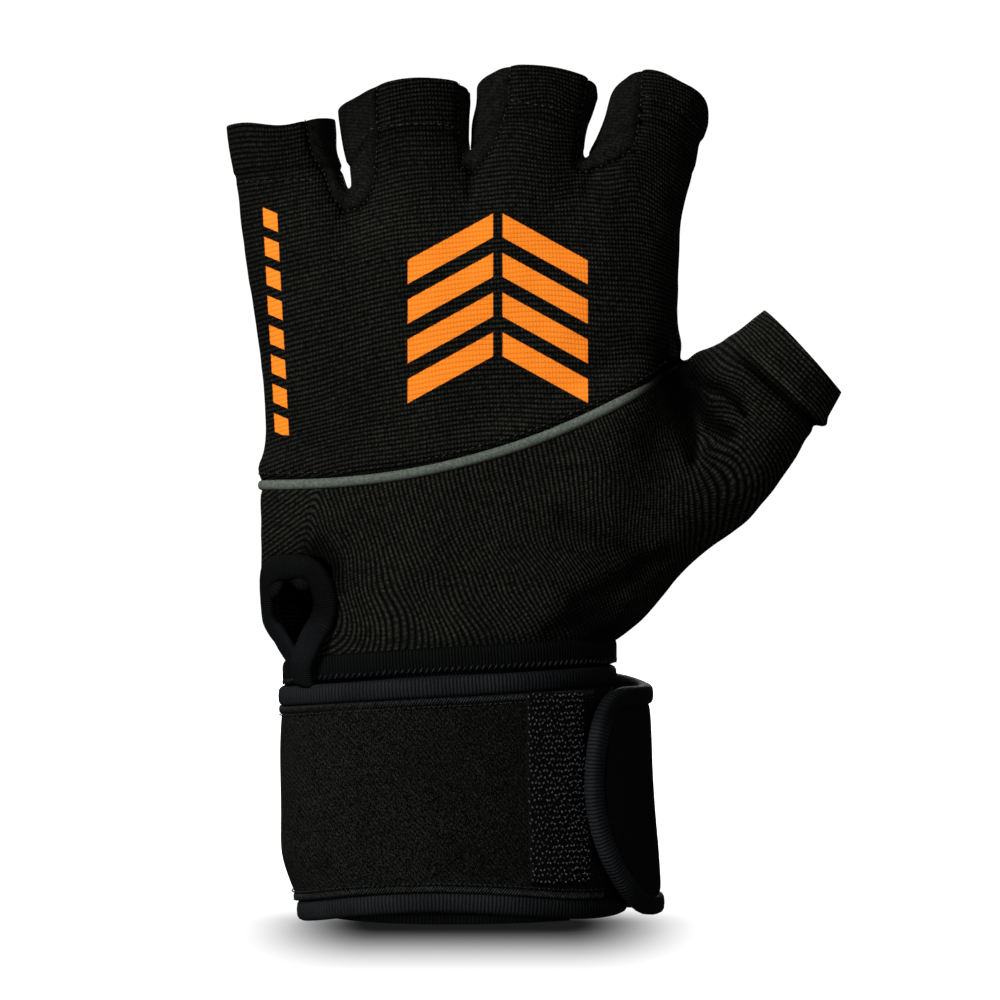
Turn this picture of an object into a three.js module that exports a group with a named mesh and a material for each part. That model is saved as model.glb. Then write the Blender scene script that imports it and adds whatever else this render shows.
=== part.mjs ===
// Left-hand open-finger fitness glove with a wide wrist wrap, in millimetres.
// +Z runs from the wrist to the fingers, -Y is the back of the hand and +X is the thumb's side.
// The origin is the centre of the wrist opening, at the height of the wrap's lower rim.
//
// The knit shell is one net of four-sided cells: closed rings of columns and rows, which split at the
// thumb and at the fingers as a hand does. Each cell belongs to a sewn panel, and each panel becomes a
// wall of its own. Tapes, piping and the wrap are strips swept along paths on that net.

import * as THREE from "three";

// A table as a list of rows with named columns.
function table(names, ...rows) {
  return rows.map((row) => Object.fromEntries(row.map((value, i) => [names[i], value])));
}

const WALL = 1.3; // knit fabric
const SEAM_GAP = 0.26; // each panel stays this far from a seam line
const PIPING_GAP = 1.5; // room that the piping takes from each panel beside it
const COLUMNS_PER_STALL = 6;
const STALLS = 4;
const HAND_COLUMNS = COLUMNS_PER_STALL * STALLS;
const ALL_COLUMNS = HAND_COLUMNS + COLUMNS_PER_STALL; // the thumb's columns follow the index finger's
const SIDE_CELLS = 4; // cells from the back of the hand round an edge to the palm
const BODY_ROUNDNESS = 2.6; // exponent of a section: 2 is an ellipse, more is squarer
const STALL_ROUNDNESS = 2.3;
const BODY_INSET = 0.025; // share of a section's width between its edge and its first column
const CREASE_WIDTH = 0.055; // half width, as a share of a row, of the fold beside the thumb
const VALLEY_WIDTH = 0.045; // half width, as a share of a row, of the dip under a gap between stalls

// Rows of the shell between the wrist hem and the piping, as the hand is seen from its back. edge is
// the little finger's side, crotch the column that ends between index finger and thumb, and thumb the
// contour under the thumb. sag bends the row, front and back are its half depths, and crease is how
// deep the fold beside the thumb cuts in, as a part of the half depth.
const LOWER_ROWS = table(
  ["edgeX", "edgeZ", "crotchX", "crotchZ", "thumbX", "thumbZ", "sag", "front", "back", "crease"],
  [-40.2, 57.0, 23.0, 62.2, 31.8, 62.0, 0.55, 23.5, 22, 0],
  [-42.6, 60.0, 28.5, 67.5, 38.2, 66.0, 0.9, 23, 21.5, 0],
  [-45.4, 66.5, 33.6, 78.0, 43.9, 73.0, 1.2, 22, 21, 0],
  [-45.8, 73.0, 38.0, 89.0, 49.6, 79.0, 1.5, 21, 20, 0.03],
  [-46.2, 80.5, 41.8, 100.0, 55.4, 83.6, 1.8, 20.5, 19, 0.16],
  [-46.0, 88.0, 44.6, 111.5, 60.2, 87.0, 2.1, 20, 18, 0.38],
  [-46.2, 95.7, 46.9, 122.8, 64.4, 91.3, 2.4, 19, 17, 0.5],
);
// Rows from the piping to the foot of the finger stalls; share is how far up a row lies, and valley
// how deep it dips under the gaps between the stalls.
const UPPER_ROWS = [
  { share: 0.16, front: 18.6, back: 16.6, valley: 0 },
  { share: 0.33, front: 18.2, back: 16.2, valley: 0 },
  { share: 0.5, front: 17.6, back: 15.6, valley: 0 },
  { share: 0.67, front: 16.8, back: 15, valley: 0.3 },
  { share: 0.84, front: 15.8, back: 14, valley: 1.4 },
  { share: 1, front: 14.6, back: 13, valley: 5 },
];
// Contours of the hand above the piping: height against the two edges, as seen from the back.
const HAND_CONTOUR = [
  { z: 90, left: -46.4, right: 46.2 },
  { z: 104, left: -44.9, right: 46.2 },
  { z: 108, left: -43.8, right: 46.3 },
  { z: 122, left: -45.6, right: 46.4 },
  { z: 132, left: -46.8, right: 46.3 },
  { z: 144, left: -49.2, right: 45.8 },
  { z: 152, left: -50.2, right: 46.4 },
  { z: 160, left: -50.8, right: 48.0 },
  { z: 168, left: -51.6, right: 49.8 },
];
// Feet of the gaps beside the stalls, from the little finger's outer side to the index finger's.
// share is the place across the hand, z the height of the gap's foot.
const GAP_FEET = [
  { share: 0, z: 160.0 },
  { share: 0.242, z: 160.8 },
  { share: 0.516, z: 168.6 },
  { share: 0.772, z: 167.2 },
  { share: 1, z: 164.5 },
];
const GAP_FOOT_DIP = 1.3; // the panel's edge at a gap's foot lies this much under the gusset
// Stalls of the little, ring, middle and index finger, in that order: left and right contour at the
// foot and along the top edge, half depths, how far the
// side gussets show from the back (share of the width), and how steeply the top edge falls from the
// back of the finger to its sides.
const STALL_TABLE = table(
  ["footL", "footR", "footZ", "topL", "topLZ", "topR", "topRZ", "front", "back", "insetL", "insetR", "fall"],
  [-51.4, -27.6, 163.5, -53.0, 175.4, -29.9, 177.2, 10.6, 9.6, 0.03, 0.26, 0.05],
  [-26.5, -0.3, 166.5, -29.0, 183.4, -0.5, 185.6, 12.2, 11, 0.32, 0.06, 0.4],
  [0.6, 25.2, 171.5, 1.3, 188.2, 28.2, 186.4, 12.6, 11.4, 0.28, 0.07, 0.45],
  [27.0, 50.8, 169.5, 31.4, 188.2, 53.3, 184.2, 12.0, 11, 0.25, 0.05, 0.72],
);
const STALL_ROWS = 4;
const PALM_FALL = 0.15; // part of that fall which goes on from the sides to the palm
// Thumb stall: its upper and lower contour from the foot to the open end, and its half depths. The
// hem stands proud of the stall from the fifth section on.
const THUMB_TABLE = table(
  ["upX", "upZ", "lowX", "lowZ", "front", "back", "insetUp"],
  [50.2, 124.4, 67.8, 95.4, 13.4, 13, 0.08],
  [53.3, 126.4, 70.8, 99.9, 12.8, 12.4, 0.07],
  [56.3, 128.6, 73.3, 103.8, 12.2, 12, 0.06],
  [58.8, 130.3, 74.9, 107.0, 11.6, 11.6, 0.05],
  [60.0, 131.2, 77.2, 108.6, 12.2, 12, 0.05],
  [62.4, 133.1, 79.5, 112.4, 11.9, 11.7, 0.05],
  [64.8, 134.8, 81.5, 116.6, 11.4, 11.2, 0.05],
);
const THUMB_SET_BACK = 2.5; // the thumb's middle lies this far behind the hand's
const THUMB_SET_BACK_FROM = 0.7; // share of a lower row at which the hand starts to turn back to it
const THUMB_WEB_RISE = 0.6; // the web beside the thumb rises between back and palm

// The slit at the little finger's side: the cells it takes, with columns under 0 on the hand's edge,
// and the exponent of its rounded outline.
const SLIT = { firstColumn: -1, lastColumn: 4, firstRow: 1, lastRow: 4, roundness: 3 };
const SLIT_TAPE = { width: 4.2, thickness: 2.6, gap: 0.4, columnSize: 4.2, rowSize: 6.8 };
// Turn, in degrees, round the slit at which its tape starts and at which it leaves the slit; the tape
// then crosses over its start, down to the hem. Places are columns and rows of the lower rings.
const SLIT_LOOP = { from: 238, to: -42, steps: 16, startLift: -0.9, endLift: 0.6 };
const SLIT_TAIL = [
  { column: 2.1, row: 1.15, lift: 2.1 },
  { column: 1.3, row: 0.75, lift: 2.9 },
  { column: 0.5, row: 0.5, lift: 2.9 },
  { column: -0.3, row: 0.3, lift: 2.7 },
];

const PIPING = { width: 2.2, thickness: 2.8, proud: 0.7 };
const HEM_TAPE = { height: 4.9, thickness: 3.2, gap: 0.3 };

// Wrist wrap: a spiral band. along counts turns from the hidden inner end at the front, under the
// free end, over the back of the wrist to the little finger's side and on round.
const STRAP = {
  thickness: 2.8,
  pitch: 4.3, // growth of the spiral in a turn: the band and its thicker binding
  halfWidth: 28.8, // inside of the innermost turn
  halfFront: 20,
  halfBack: 19,
  centreX: -3.7,
  startAngle: -42,
  turns: 2.02,
  stepsPerTurn: 30,
  rows: 4,
  roundness: 2.25,
};
// Edges of the band along its turns: height of the lower edge, how far the upper edge lies under the
// wrist hem, and how far the band stands off the turn below it.
const STRAP_EDGES = [
  { along: 0, low: 1.7, under: 0.9, extra: 0 },
  { along: 0.13, low: 1.5, under: 0.4, extra: 0 },
  { along: 0.385, low: 2.0, under: 0.4, extra: 0 },
  { along: 0.635, low: 1.6, under: 0.4, extra: 0 },
  { along: 0.885, low: 2.6, under: 0.4, extra: 0 },
  { along: 1.13, low: 4.4, under: 0.6, extra: 0 },
  { along: 1.385, low: 0.6, under: 0.6, extra: 0 },
  { along: 1.635, low: 1.0, under: 0.6, extra: 0 },
  { along: 1.78, low: 1.6, under: 1.4, extra: 2.4 },
  { along: 1.885, low: 1.8, under: 2.6, extra: 3.6 },
  { along: 2.02, low: 2.2, under: 3.6, extra: 1.7 },
];
const LEFT_TUCK = { depth: 4.4, below: 17 }; // the wrap draws in under the little finger's side
const RIGHT_FLARE = { depth: 1.9, below: 46 };
// The free end is rounded: how far it is cut back, in millimetres, from its foremost point.
const END_CUT = [
  { share: 0, cut: 10.5 },
  { share: 0.1, cut: 6.4 },
  { share: 0.25, cut: 2.6 },
  { share: 0.42, cut: 0.4 },
  { share: 0.55, cut: 0 },
  { share: 0.72, cut: 0.8 },
  { share: 0.88, cut: 2.4 },
  { share: 1, cut: 4.2 },
];
const STRAP_TAPE = { height: 4.4, proud: 1.1, gap: 0.3 };
const HOOK = { fromX: 12.4, toX: 31.5, low: 10.4, high: 51.4, thickness: 0.9, gap: 0.35, steps: 7 };

const COLOURS = {
  ribbedKnit: 0x0c0c0b,
  smoothKnit: 0x141412,
  tape: 0x0b0d10,
  wrapCloth: 0x0d0d0c,
  piping: 0x707872,
  hook: 0x111211,
};

const lerp = THREE.MathUtils.lerp;
const clamp = THREE.MathUtils.clamp;
const smooth = (t) => t * t * (3 - 2 * t);

// Value of a table's column at a key between its rows, without overshoot.
function tableValue(table, keyName, key, column) {
  const last = table.length - 1;
  if (key <= table[0][keyName]) return table[0][column];
  if (key >= table[last][keyName]) return table[last][column];
  const i = table.findIndex((row) => row[keyName] > key) - 1;
  const t = (key - table[i][keyName]) / (table[i + 1][keyName] - table[i][keyName]);
  return lerp(table[i][column], table[i + 1][column], smooth(t));
}

// The shell's net: points, and cells that name four of them and a panel.
const points = [];
const cells = [];

function addPoint(x, y, z) {
  points.push(new THREE.Vector3(x, y, z));
  return points.length - 1;
}

// Depth of a rounded section at a share of its width, as a part of its half depth.
function sectionDepth(share, roundness) {
  return Math.pow(Math.max(0, 1 - Math.pow(Math.abs(2 * share - 1), roundness)), 1 / roundness);
}

// Share of the width at which a rounded section has a given part of its half depth.
function sectionShare(depth, roundness) {
  return (1 - Math.pow(1 - Math.pow(clamp(Math.abs(depth), 0, 1), roundness), 1 / roundness)) / 2;
}

// One ring of the net. spine(share) gives { x, z } from the left edge to the right one, shares are the
// columns' places on it, and shift(share, y) gives a point's depth and its step in height.
function makeRing({ spine, shares, front, back, roundness, shift }) {
  const place = (share, y) => {
    const at = spine(share);
    const moved = shift(share, y);
    return addPoint(at.x, moved.y, at.z + moved.z);
  };
  const row = (depth) => shares.map((share) => place(share, depth * sectionDepth(share, roundness)));
  const side = (edgeShare, isRight) => {
    const part = sectionDepth(edgeShare, roundness);
    const ids = [];
    for (let i = 1; i < SIDE_CELLS; i += 1) {
      const turn = lerp(-1, 1, i / SIDE_CELLS) * part;
      const share = sectionShare(turn, roundness);
      ids.push(place(isRight ? 1 - share : share, turn * (turn < 0 ? front : back)));
    }
    return ids;
  };
  return {
    front: row(-front),
    back: row(back),
    left: side(shares[0], false),
    right: side(shares[shares.length - 1], true),
  };
}

// Point numbers of a ring in order: front, right side, back, left side.
function ringOrder({ front, right, back, left }) {
  return [...front, ...right, ...[...back].reverse(), ...[...left].reverse()];
}

// Joins two rings with the same count of points. panelOf(i) names the panel of each cell, and a cell
// for which isOpen(i) is true is left out.
function joinRings(lower, upper, panelOf, isOpen = () => false) {
  const a = ringOrder(lower);
  const b = ringOrder(upper);
  for (let i = 0; i < a.length; i += 1) {
    const j = (i + 1) % a.length;
    if (!isOpen(i)) cells.push({ corners: [a[i], a[j], b[j], b[i]], panel: panelOf(i) });
  }
}

// Side of a ring that its i-th cell lies on.
function sideOfCell(i, columns) {
  if (i < columns) return "front";
  if (i < columns + SIDE_CELLS) return "right";
  if (i < 2 * columns + SIDE_CELLS) return "back";
  return "left";
}

// Places of the columns across the hand, with the gaps between the stalls on whole columns.
function handShares() {
  const shares = [];
  for (let stall = 0; stall < STALLS; stall += 1) {
    for (let i = 0; i < COLUMNS_PER_STALL; i += 1) {
      shares.push(lerp(GAP_FEET[stall].share, GAP_FEET[stall + 1].share, i / COLUMNS_PER_STALL));
    }
  }
  shares.push(1);
  return shares.map((share) => lerp(BODY_INSET, 1 - BODY_INSET, share));
}

// A lower row: its curve from the little finger's edge to the crotch column and on to the thumb.
function lowerRing(row) {
  const crotchShare = (row.crotchX - row.edgeX) / (row.thumbX - row.edgeX);
  const spine = (share) => {
    if (share <= crotchShare) {
      const t = share / crotchShare;
      return {
        x: lerp(row.edgeX, row.crotchX, t),
        z: lerp(row.edgeZ, row.crotchZ, Math.pow(t, row.sag)),
      };
    }
    const t = (share - crotchShare) / (1 - crotchShare);
    return { x: lerp(row.crotchX, row.thumbX, t), z: lerp(row.crotchZ, row.thumbZ, t) };
  };
  const hand = handShares().map((share) => {
    const t = (share - BODY_INSET) / (1 - 2 * BODY_INSET);
    return lerp(BODY_INSET, crotchShare, t);
  });
  const thumb = [];
  for (let i = 1; i <= COLUMNS_PER_STALL; i += 1) {
    thumb.push(lerp(crotchShare, 1 - BODY_INSET, i / COLUMNS_PER_STALL));
  }
  const shift = (share, y) => {
    const near = Math.exp(-(((share - crotchShare) / CREASE_WIDTH) ** 2));
    const turned = clamp((share - THUMB_SET_BACK_FROM) / (1 - THUMB_SET_BACK_FROM), 0, 1);
    return { y: y * (1 - near * row.crease) + THUMB_SET_BACK * smooth(turned), z: 0 };
  };
  return makeRing({
    spine,
    shares: [...hand, ...thumb],
    front: row.front,
    back: row.back,
    roundness: BODY_ROUNDNESS,
    shift,
  });
}

const lowerRings = LOWER_ROWS.map(lowerRing);
const pipingRing = lowerRings[lowerRings.length - 1];

// Height of the piping line at a place across the hand.
function pipingHeight(share) {
  const row = LOWER_ROWS[LOWER_ROWS.length - 1];
  return lerp(row.edgeZ, row.crotchZ, Math.pow(share, row.sag));
}

// Height of the line through the stalls' feet at a place across the hand.
function stallFootHeight(share) {
  return tableValue(GAP_FEET, "share", share, "z") - GAP_FOOT_DIP;
}

function upperRing(row) {
  const spine = (share) => {
    const z = lerp(pipingHeight(share), stallFootHeight(share), row.share);
    const left = tableValue(HAND_CONTOUR, "z", z, "left");
    const right = tableValue(HAND_CONTOUR, "z", z, "right");
    return { x: lerp(left, right, share), z };
  };
  const gaps = GAP_FEET.slice(1, STALLS).map((gap) => lerp(BODY_INSET, 1 - BODY_INSET, gap.share));
  const shift = (share, y) => {
    const near = gaps.reduce((sum, gap) => sum + Math.exp(-(((share - gap) / VALLEY_WIDTH) ** 2)), 0);
    return { y: y - Math.sign(y) * near * row.valley, z: 0 };
  };
  return makeRing({
    spine,
    shares: handShares(),
    front: row.front,
    back: row.back,
    roundness: BODY_ROUNDNESS,
    shift,
  });
}

// Points of a gap's foot, from the back of the hand to the palm, between two points of the net.
function webPoints(frontId, backId, rise) {
  const ids = [];
  for (let i = 1; i < SIDE_CELLS; i += 1) {
    const at = points[frontId].clone().lerp(points[backId], i / SIDE_CELLS);
    ids.push(addPoint(at.x, at.y, at.z + rise * Math.sin((Math.PI * i) / SIDE_CELLS)));
  }
  return ids;
}

const thumbWeb = webPoints(
  pipingRing.front[HAND_COLUMNS],
  pipingRing.back[HAND_COLUMNS],
  THUMB_WEB_RISE,
);
const upperStart = {
  front: pipingRing.front.slice(0, HAND_COLUMNS + 1),
  back: pipingRing.back.slice(0, HAND_COLUMNS + 1),
  left: pipingRing.left,
  right: thumbWeb,
};
const upperRings = [upperStart, ...UPPER_ROWS.map(upperRing)];
const footRing = upperRings[upperRings.length - 1];

const LOWER_CELLS = 2 * (ALL_COLUMNS + 1) + 2 * (SIDE_CELLS - 1);
const inSlit = (row, i) => {
  const column = i < ALL_COLUMNS ? i : i - LOWER_CELLS;
  const inColumns = column >= SLIT.firstColumn && column < SLIT.lastColumn;
  return inColumns && row >= SLIT.firstRow && row < SLIT.lastRow;
};

const lowerPanelOf = (i) => (sideOfCell(i, ALL_COLUMNS) === "back" ? "palm_panel" : "lower_panel");
lowerRings.slice(1).forEach((ring, row) => {
  joinRings(lowerRings[row], ring, lowerPanelOf, (i) => inSlit(row, i));
});
const upperPanelOf = (i) => (sideOfCell(i, HAND_COLUMNS) === "back" ? "palm_panel" : "upper_panel");
upperRings.slice(1).forEach((ring, row) => joinRings(upperRings[row], ring, upperPanelOf));

// Number of a lower ring's point at a whole column; columns under 0 go round the hand's edge.
const lowerId = (row, column) =>
  column < 0 ? lowerRings[row].left[-column - 1] : lowerRings[row].front[column];

// A place on the lower shell at a broken column and row, taken from one vector per point.
function lowerPlace(vectors, column, row) {
  const c = clamp(Math.floor(column), 1 - SIDE_CELLS, ALL_COLUMNS - 1);
  const r = clamp(Math.floor(row), 0, LOWER_ROWS.length - 2);
  const low = vectors[lowerId(r, c)].clone().lerp(vectors[lowerId(r, c + 1)], column - c);
  const high = vectors[lowerId(r + 1, c)].clone().lerp(vectors[lowerId(r + 1, c + 1)], column - c);
  return low.lerp(high, row - r);
}

// Column and row on an outline round the slit, drawn in from the slit's edge by some millimetres.
function slitPlace(turn, inset) {
  const columns = (SLIT.lastColumn - SLIT.firstColumn) / 2 - inset / SLIT_TAPE.columnSize;
  const rows = (SLIT.lastRow - SLIT.firstRow) / 2 - inset / SLIT_TAPE.rowSize;
  const power = 2 / SLIT.roundness;
  const cos = Math.cos(turn);
  const sin = Math.sin(turn);
  return {
    column: (SLIT.lastColumn + SLIT.firstColumn) / 2 + columns * Math.sign(cos) * Math.abs(cos) ** power,
    row: (SLIT.lastRow + SLIT.firstRow) / 2 + rows * Math.sign(sin) * Math.abs(sin) ** power,
  };
}

// The slit's edge points move from their square onto its rounded outline.
function roundSlit() {
  const before = points.map((at) => at.clone());
  const { firstColumn: c0, lastColumn: c1, firstRow: r0, lastRow: r1 } = SLIT;
  for (let r = r0; r <= r1; r += 1) {
    for (let c = c0; c <= c1; c += 1) {
      if (r > r0 && r < r1 && c > c0 && c < c1) continue;
      const across = (2 * (c - c0)) / (c1 - c0) - 1;
      const up = (2 * (r - r0)) / (r1 - r0) - 1;
      const sum = Math.abs(across) ** SLIT.roundness + Math.abs(up) ** SLIT.roundness;
      const size = sum ** (1 / SLIT.roundness);
      const column = (c0 + c1) / 2 + ((across / size) * (c1 - c0)) / 2;
      const row = (r0 + r1) / 2 + ((up / size) * (r1 - r0)) / 2;
      points[lowerId(r, c)].copy(lowerPlace(before, column, row));
    }
  }
}
const flatPoints = points.map((at) => at.clone()); // the shell as it would be without the slit
roundSlit();

// A finger stall: rings from the hand's last row to the stall's open top.
function makeStall(stall, index, webs) {
  const from = index * COLUMNS_PER_STALL;
  const to = from + COLUMNS_PER_STALL;
  let ring = {
    front: footRing.front.slice(from, to + 1),
    back: footRing.back.slice(from, to + 1),
    left: webs[index],
    right: webs[index + 1],
  };
  const sidePanel = (side) => {
    const gap = side === "left" ? index : index + 1;
    return gap === 0 || gap === STALLS ? "upper_panel" : GUSSETS[gap - 1];
  };
  const panelOf = (i) => {
    const side = sideOfCell(i, COLUMNS_PER_STALL);
    if (side === "front") return "upper_panel";
    return side === "back" ? "palm_panel" : sidePanel(side);
  };
  for (let k = 1; k <= STALL_ROWS; k += 1) {
    const t = k / STALL_ROWS;
    const left = { x: lerp(stall.footL, stall.topL, t), z: lerp(stall.footZ, stall.topLZ, t) };
    const right = { x: lerp(stall.footR, stall.topR, t), z: lerp(stall.footZ, stall.topRZ, t) };
    const fall = stall.fall * smooth(t);
    const shares = [];
    for (let c = 0; c <= COLUMNS_PER_STALL; c += 1) {
      shares.push(lerp(stall.insetL, 1 - stall.insetR, c / COLUMNS_PER_STALL));
    }
    const next = makeRing({
      spine: (share) => ({ x: lerp(left.x, right.x, share), z: lerp(left.z, right.z, share) }),
      shares,
      front: stall.front,
      back: stall.back,
      roundness: STALL_ROUNDNESS,
      shift: (share, y) => {
        const down = Math.min(y, 0) + stall.front + PALM_FALL * Math.max(y, 0);
        return { y, z: -fall * down };
      },
    });
    joinRings(ring, next, panelOf);
    ring = next;
  }
}

const GUSSETS = ["gusset_little_ring", "gusset_ring_middle", "gusset_middle_index"];
const webs = [footRing.left];
for (let gap = 1; gap < STALLS; gap += 1) {
  const column = gap * COLUMNS_PER_STALL;
  webs.push(webPoints(footRing.front[column], footRing.back[column], GAP_FOOT_DIP));
}
webs.push(footRing.right);
STALL_TABLE.forEach((stall, index) => makeStall(stall, index, webs));

// The thumb stall grows from the crotch column outwards.
function makeThumb() {
  let ring = {
    front: pipingRing.front.slice(HAND_COLUMNS),
    back: pipingRing.back.slice(HAND_COLUMNS),
    left: thumbWeb,
    right: pipingRing.right,
  };
  THUMB_TABLE.forEach((row) => {
    const shares = [];
    for (let c = 0; c <= COLUMNS_PER_STALL; c += 1) {
      shares.push(lerp(row.insetUp, 1 - BODY_INSET * 2, c / COLUMNS_PER_STALL));
    }
    const next = makeRing({
      spine: (share) => ({ x: lerp(row.upX, row.lowX, share), z: lerp(row.upZ, row.lowZ, share) }),
      shares,
      front: row.front,
      back: row.back,
      roundness: STALL_ROUNDNESS,
      shift: (share, y) => ({ y: y + THUMB_SET_BACK, z: 0 }),
    });
    joinRings(ring, next, () => "lower_panel");
    ring = next;
  });
}
makeThumb();

// Outward normals at the net's points.
const normals = points.map(() => new THREE.Vector3());
cells.forEach(({ corners }) => {
  const [a, b, c, d] = corners.map((id) => points[id]);
  const across = new THREE.Vector3().crossVectors(c.clone().sub(a), d.clone().sub(b));
  corners.forEach((id) => normals[id].add(across));
});
normals.forEach((n) => n.normalize());

// Ids of the piping line's points, from the left edge to the crotch.
const pipingIds = new Set([...pipingRing.front.slice(0, HAND_COLUMNS + 1), ...pipingRing.left]);

function geometryFrom(positions, triangles) {
  const geometry = new THREE.BufferGeometry();
  const numbers = positions.flatMap((at) => at.toArray());
  geometry.setAttribute("position", new THREE.Float32BufferAttribute(numbers, 3));
  geometry.setIndex(triangles);
  geometry.computeVertexNormals();
  return geometry;
}

// A sewn panel as a wall: its cells, the same cells drawn in by the wall, and a rim between them.
function panelGeometry(panel) {
  const own = cells.filter((cell) => cell.panel === panel);
  const shared = new Set(cells.filter((cell) => cell.panel !== panel).flatMap((cell) => cell.corners));
  const number = new Map();
  const inwards = new Map();
  own.forEach(({ corners }) => {
    const middle = corners.reduce((sum, id) => sum.add(points[id]), new THREE.Vector3()).divideScalar(4);
    corners.forEach((id) => {
      if (!number.has(id)) number.set(id, number.size);
      if (!inwards.has(id)) inwards.set(id, new THREE.Vector3());
      inwards.get(id).add(middle.clone().sub(points[id]).normalize());
    });
  });
  const outer = [];
  number.forEach((_, id) => {
    const at = points[id].clone();
    if (shared.has(id)) {
      const gap = pipingIds.has(id) && panel !== "palm_panel" ? PIPING_GAP : SEAM_GAP;
      const pull = inwards.get(id).projectOnPlane(normals[id]).normalize();
      at.addScaledVector(pull, gap);
    }
    outer.push(at);
  });
  const ids = [...number.keys()];
  const inner = outer.map((at, i) => at.clone().addScaledVector(normals[ids[i]], -WALL));
  const count = outer.length;
  const triangles = [];
  const edges = new Map();
  own.forEach(({ corners }) => {
    let [a, b, c, d] = corners.map((id) => number.get(id));
    if (outer[b].distanceTo(outer[d]) < outer[a].distanceTo(outer[c])) [a, b, c, d] = [b, c, d, a];
    triangles.push(a, b, c, a, c, d);
    triangles.push(a + count, c + count, b + count, a + count, d + count, c + count);
    [[a, b], [b, c], [c, d], [d, a]].forEach(([from, to]) => edges.set(`${from},${to}`, [from, to]));
  });
  edges.forEach(([from, to]) => {
    if (edges.has(`${to},${from}`)) return;
    // Two panels cut a shared seam's rim along the same diagonal, so their rims stay side by side.
    if (ids[from] < ids[to]) triangles.push(from, from + count, to + count, from, to + count, to);
    else triangles.push(from, from + count, to, from + count, to + count, to);
  });
  return geometryFrom([...outer, ...inner], triangles);
}

// A tape or cord: a section swept along stations { at, out, side }. out points away from the shell
// and side lies across the path; section gives [side, out] pairs. A closed path has no end caps.
function sweepGeometry(stations, section, closed) {
  const positions = [];
  const triangles = [];
  const n = section.length;
  stations.forEach(({ at, out, side }) => {
    section.forEach(([across, up]) => {
      positions.push(at.clone().addScaledVector(side, across).addScaledVector(out, up));
    });
  });
  const steps = closed ? stations.length : stations.length - 1;
  for (let s = 0; s < steps; s += 1) {
    const here = s * n;
    const next = ((s + 1) % stations.length) * n;
    for (let i = 0; i < n; i += 1) {
      const j = (i + 1) % n;
      triangles.push(here + i, here + j, next + j, here + i, next + j, next + i);
    }
  }
  if (!closed) {
    const last = (stations.length - 1) * n;
    for (let i = 1; i < n - 1; i += 1) {
      triangles.push(0, i + 1, i, last, last + i, last + i + 1);
    }
  }
  return geometryFrom(positions, triangles);
}

// A flattened six-sided tape section; low and high are its two faces.
function tapeSection(width, low, high) {
  const half = width / 2;
  const middle = (low + high) / 2;
  return [
    [-half, middle],
    [-half * 0.62, low],
    [half * 0.62, low],
    [half, middle],
    [half * 0.62, high],
    [-half * 0.62, high],
  ];
}

// Stations along points with their outward directions; side is across both.
function stationsAlong(path, closed) {
  const n = path.length;
  return path.map(({ at, out }, i) => {
    const before = path[closed ? (i + n - 1) % n : Math.max(0, i - 1)].at;
    const after = path[closed ? (i + 1) % n : Math.min(n - 1, i + 1)].at;
    const forward = after.clone().sub(before).normalize();
    const side = new THREE.Vector3().crossVectors(out, forward).normalize();
    return { at, out: new THREE.Vector3().crossVectors(forward, side).normalize(), side };
  });
}

const mesh = (name, geometry, colour, roughness) => {
  const made = new THREE.Mesh(
    geometry,
    new THREE.MeshStandardMaterial({ color: colour, roughness, metalness: 0 }),
  );
  made.name = name;
  return made;
};

function pipingMesh() {
  const ids = [...[...pipingRing.left].reverse(), ...pipingRing.front.slice(0, HAND_COLUMNS)];
  const path = ids.map((id) => ({ at: points[id], out: normals[id] }));
  const section = tapeSection(PIPING.width, PIPING.proud - PIPING.thickness, PIPING.proud);
  return mesh("piping", sweepGeometry(stationsAlong(path, false), section, false), COLOURS.piping, 0.5);
}

// The hem's tape hangs from the shell's first row.
function hemMesh() {
  const ring = ringOrder(lowerRings[0]);
  const drop = HEM_TAPE.height / 2 + HEM_TAPE.gap;
  const path = ring
    .map((id) => {
      const out = normals[id].clone().setZ(0).normalize();
      return { at: points[id].clone().add(new THREE.Vector3(0, 0, -drop)), out };
    })
    .filter((_, i) => i % 2 === 0);
  const inner = WALL * 0.5 + HEM_TAPE.thickness / 2;
  const section = tapeSection(HEM_TAPE.height, -inner, HEM_TAPE.thickness - inner);
  return mesh("hem_binding", sweepGeometry(stationsAlong(path, true), section, true), COLOURS.tape, 0.8);
}

// Angle, in the plan of the wrist, at a number of turns along the wrap.
const strapAngle = (along) => THREE.MathUtils.degToRad(STRAP.startAngle) - along * 2 * Math.PI;

// A point of the wrap: turns along it, height, and distance out from the band's inner face.
function strapPoint(along, z, out) {
  const angle = strapAngle(along);
  const cos = Math.cos(angle);
  const sin = Math.sin(angle);
  const grown = STRAP.pitch * along + tableValue(STRAP_EDGES, "along", along, "extra") + out;
  const power = 2 / STRAP.roundness;
  const x = (STRAP.halfWidth + grown) * Math.sign(cos) * Math.pow(Math.abs(cos), power);
  const depth = (sin < 0 ? STRAP.halfFront : STRAP.halfBack) + grown;
  const y = depth * Math.sign(sin) * Math.pow(Math.abs(sin), power);
  const tuck = LEFT_TUCK.depth * smooth(clamp(1 - z / LEFT_TUCK.below, 0, 1)) * Math.max(0, -cos);
  const flare = RIGHT_FLARE.depth * smooth(clamp(1 - z / RIGHT_FLARE.below, 0, 1)) * Math.max(0, cos);
  return new THREE.Vector3(STRAP.centreX + x + tuck + flare, y, z);
}

const strapLow = (along) => tableValue(STRAP_EDGES, "along", along, "low");

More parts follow.
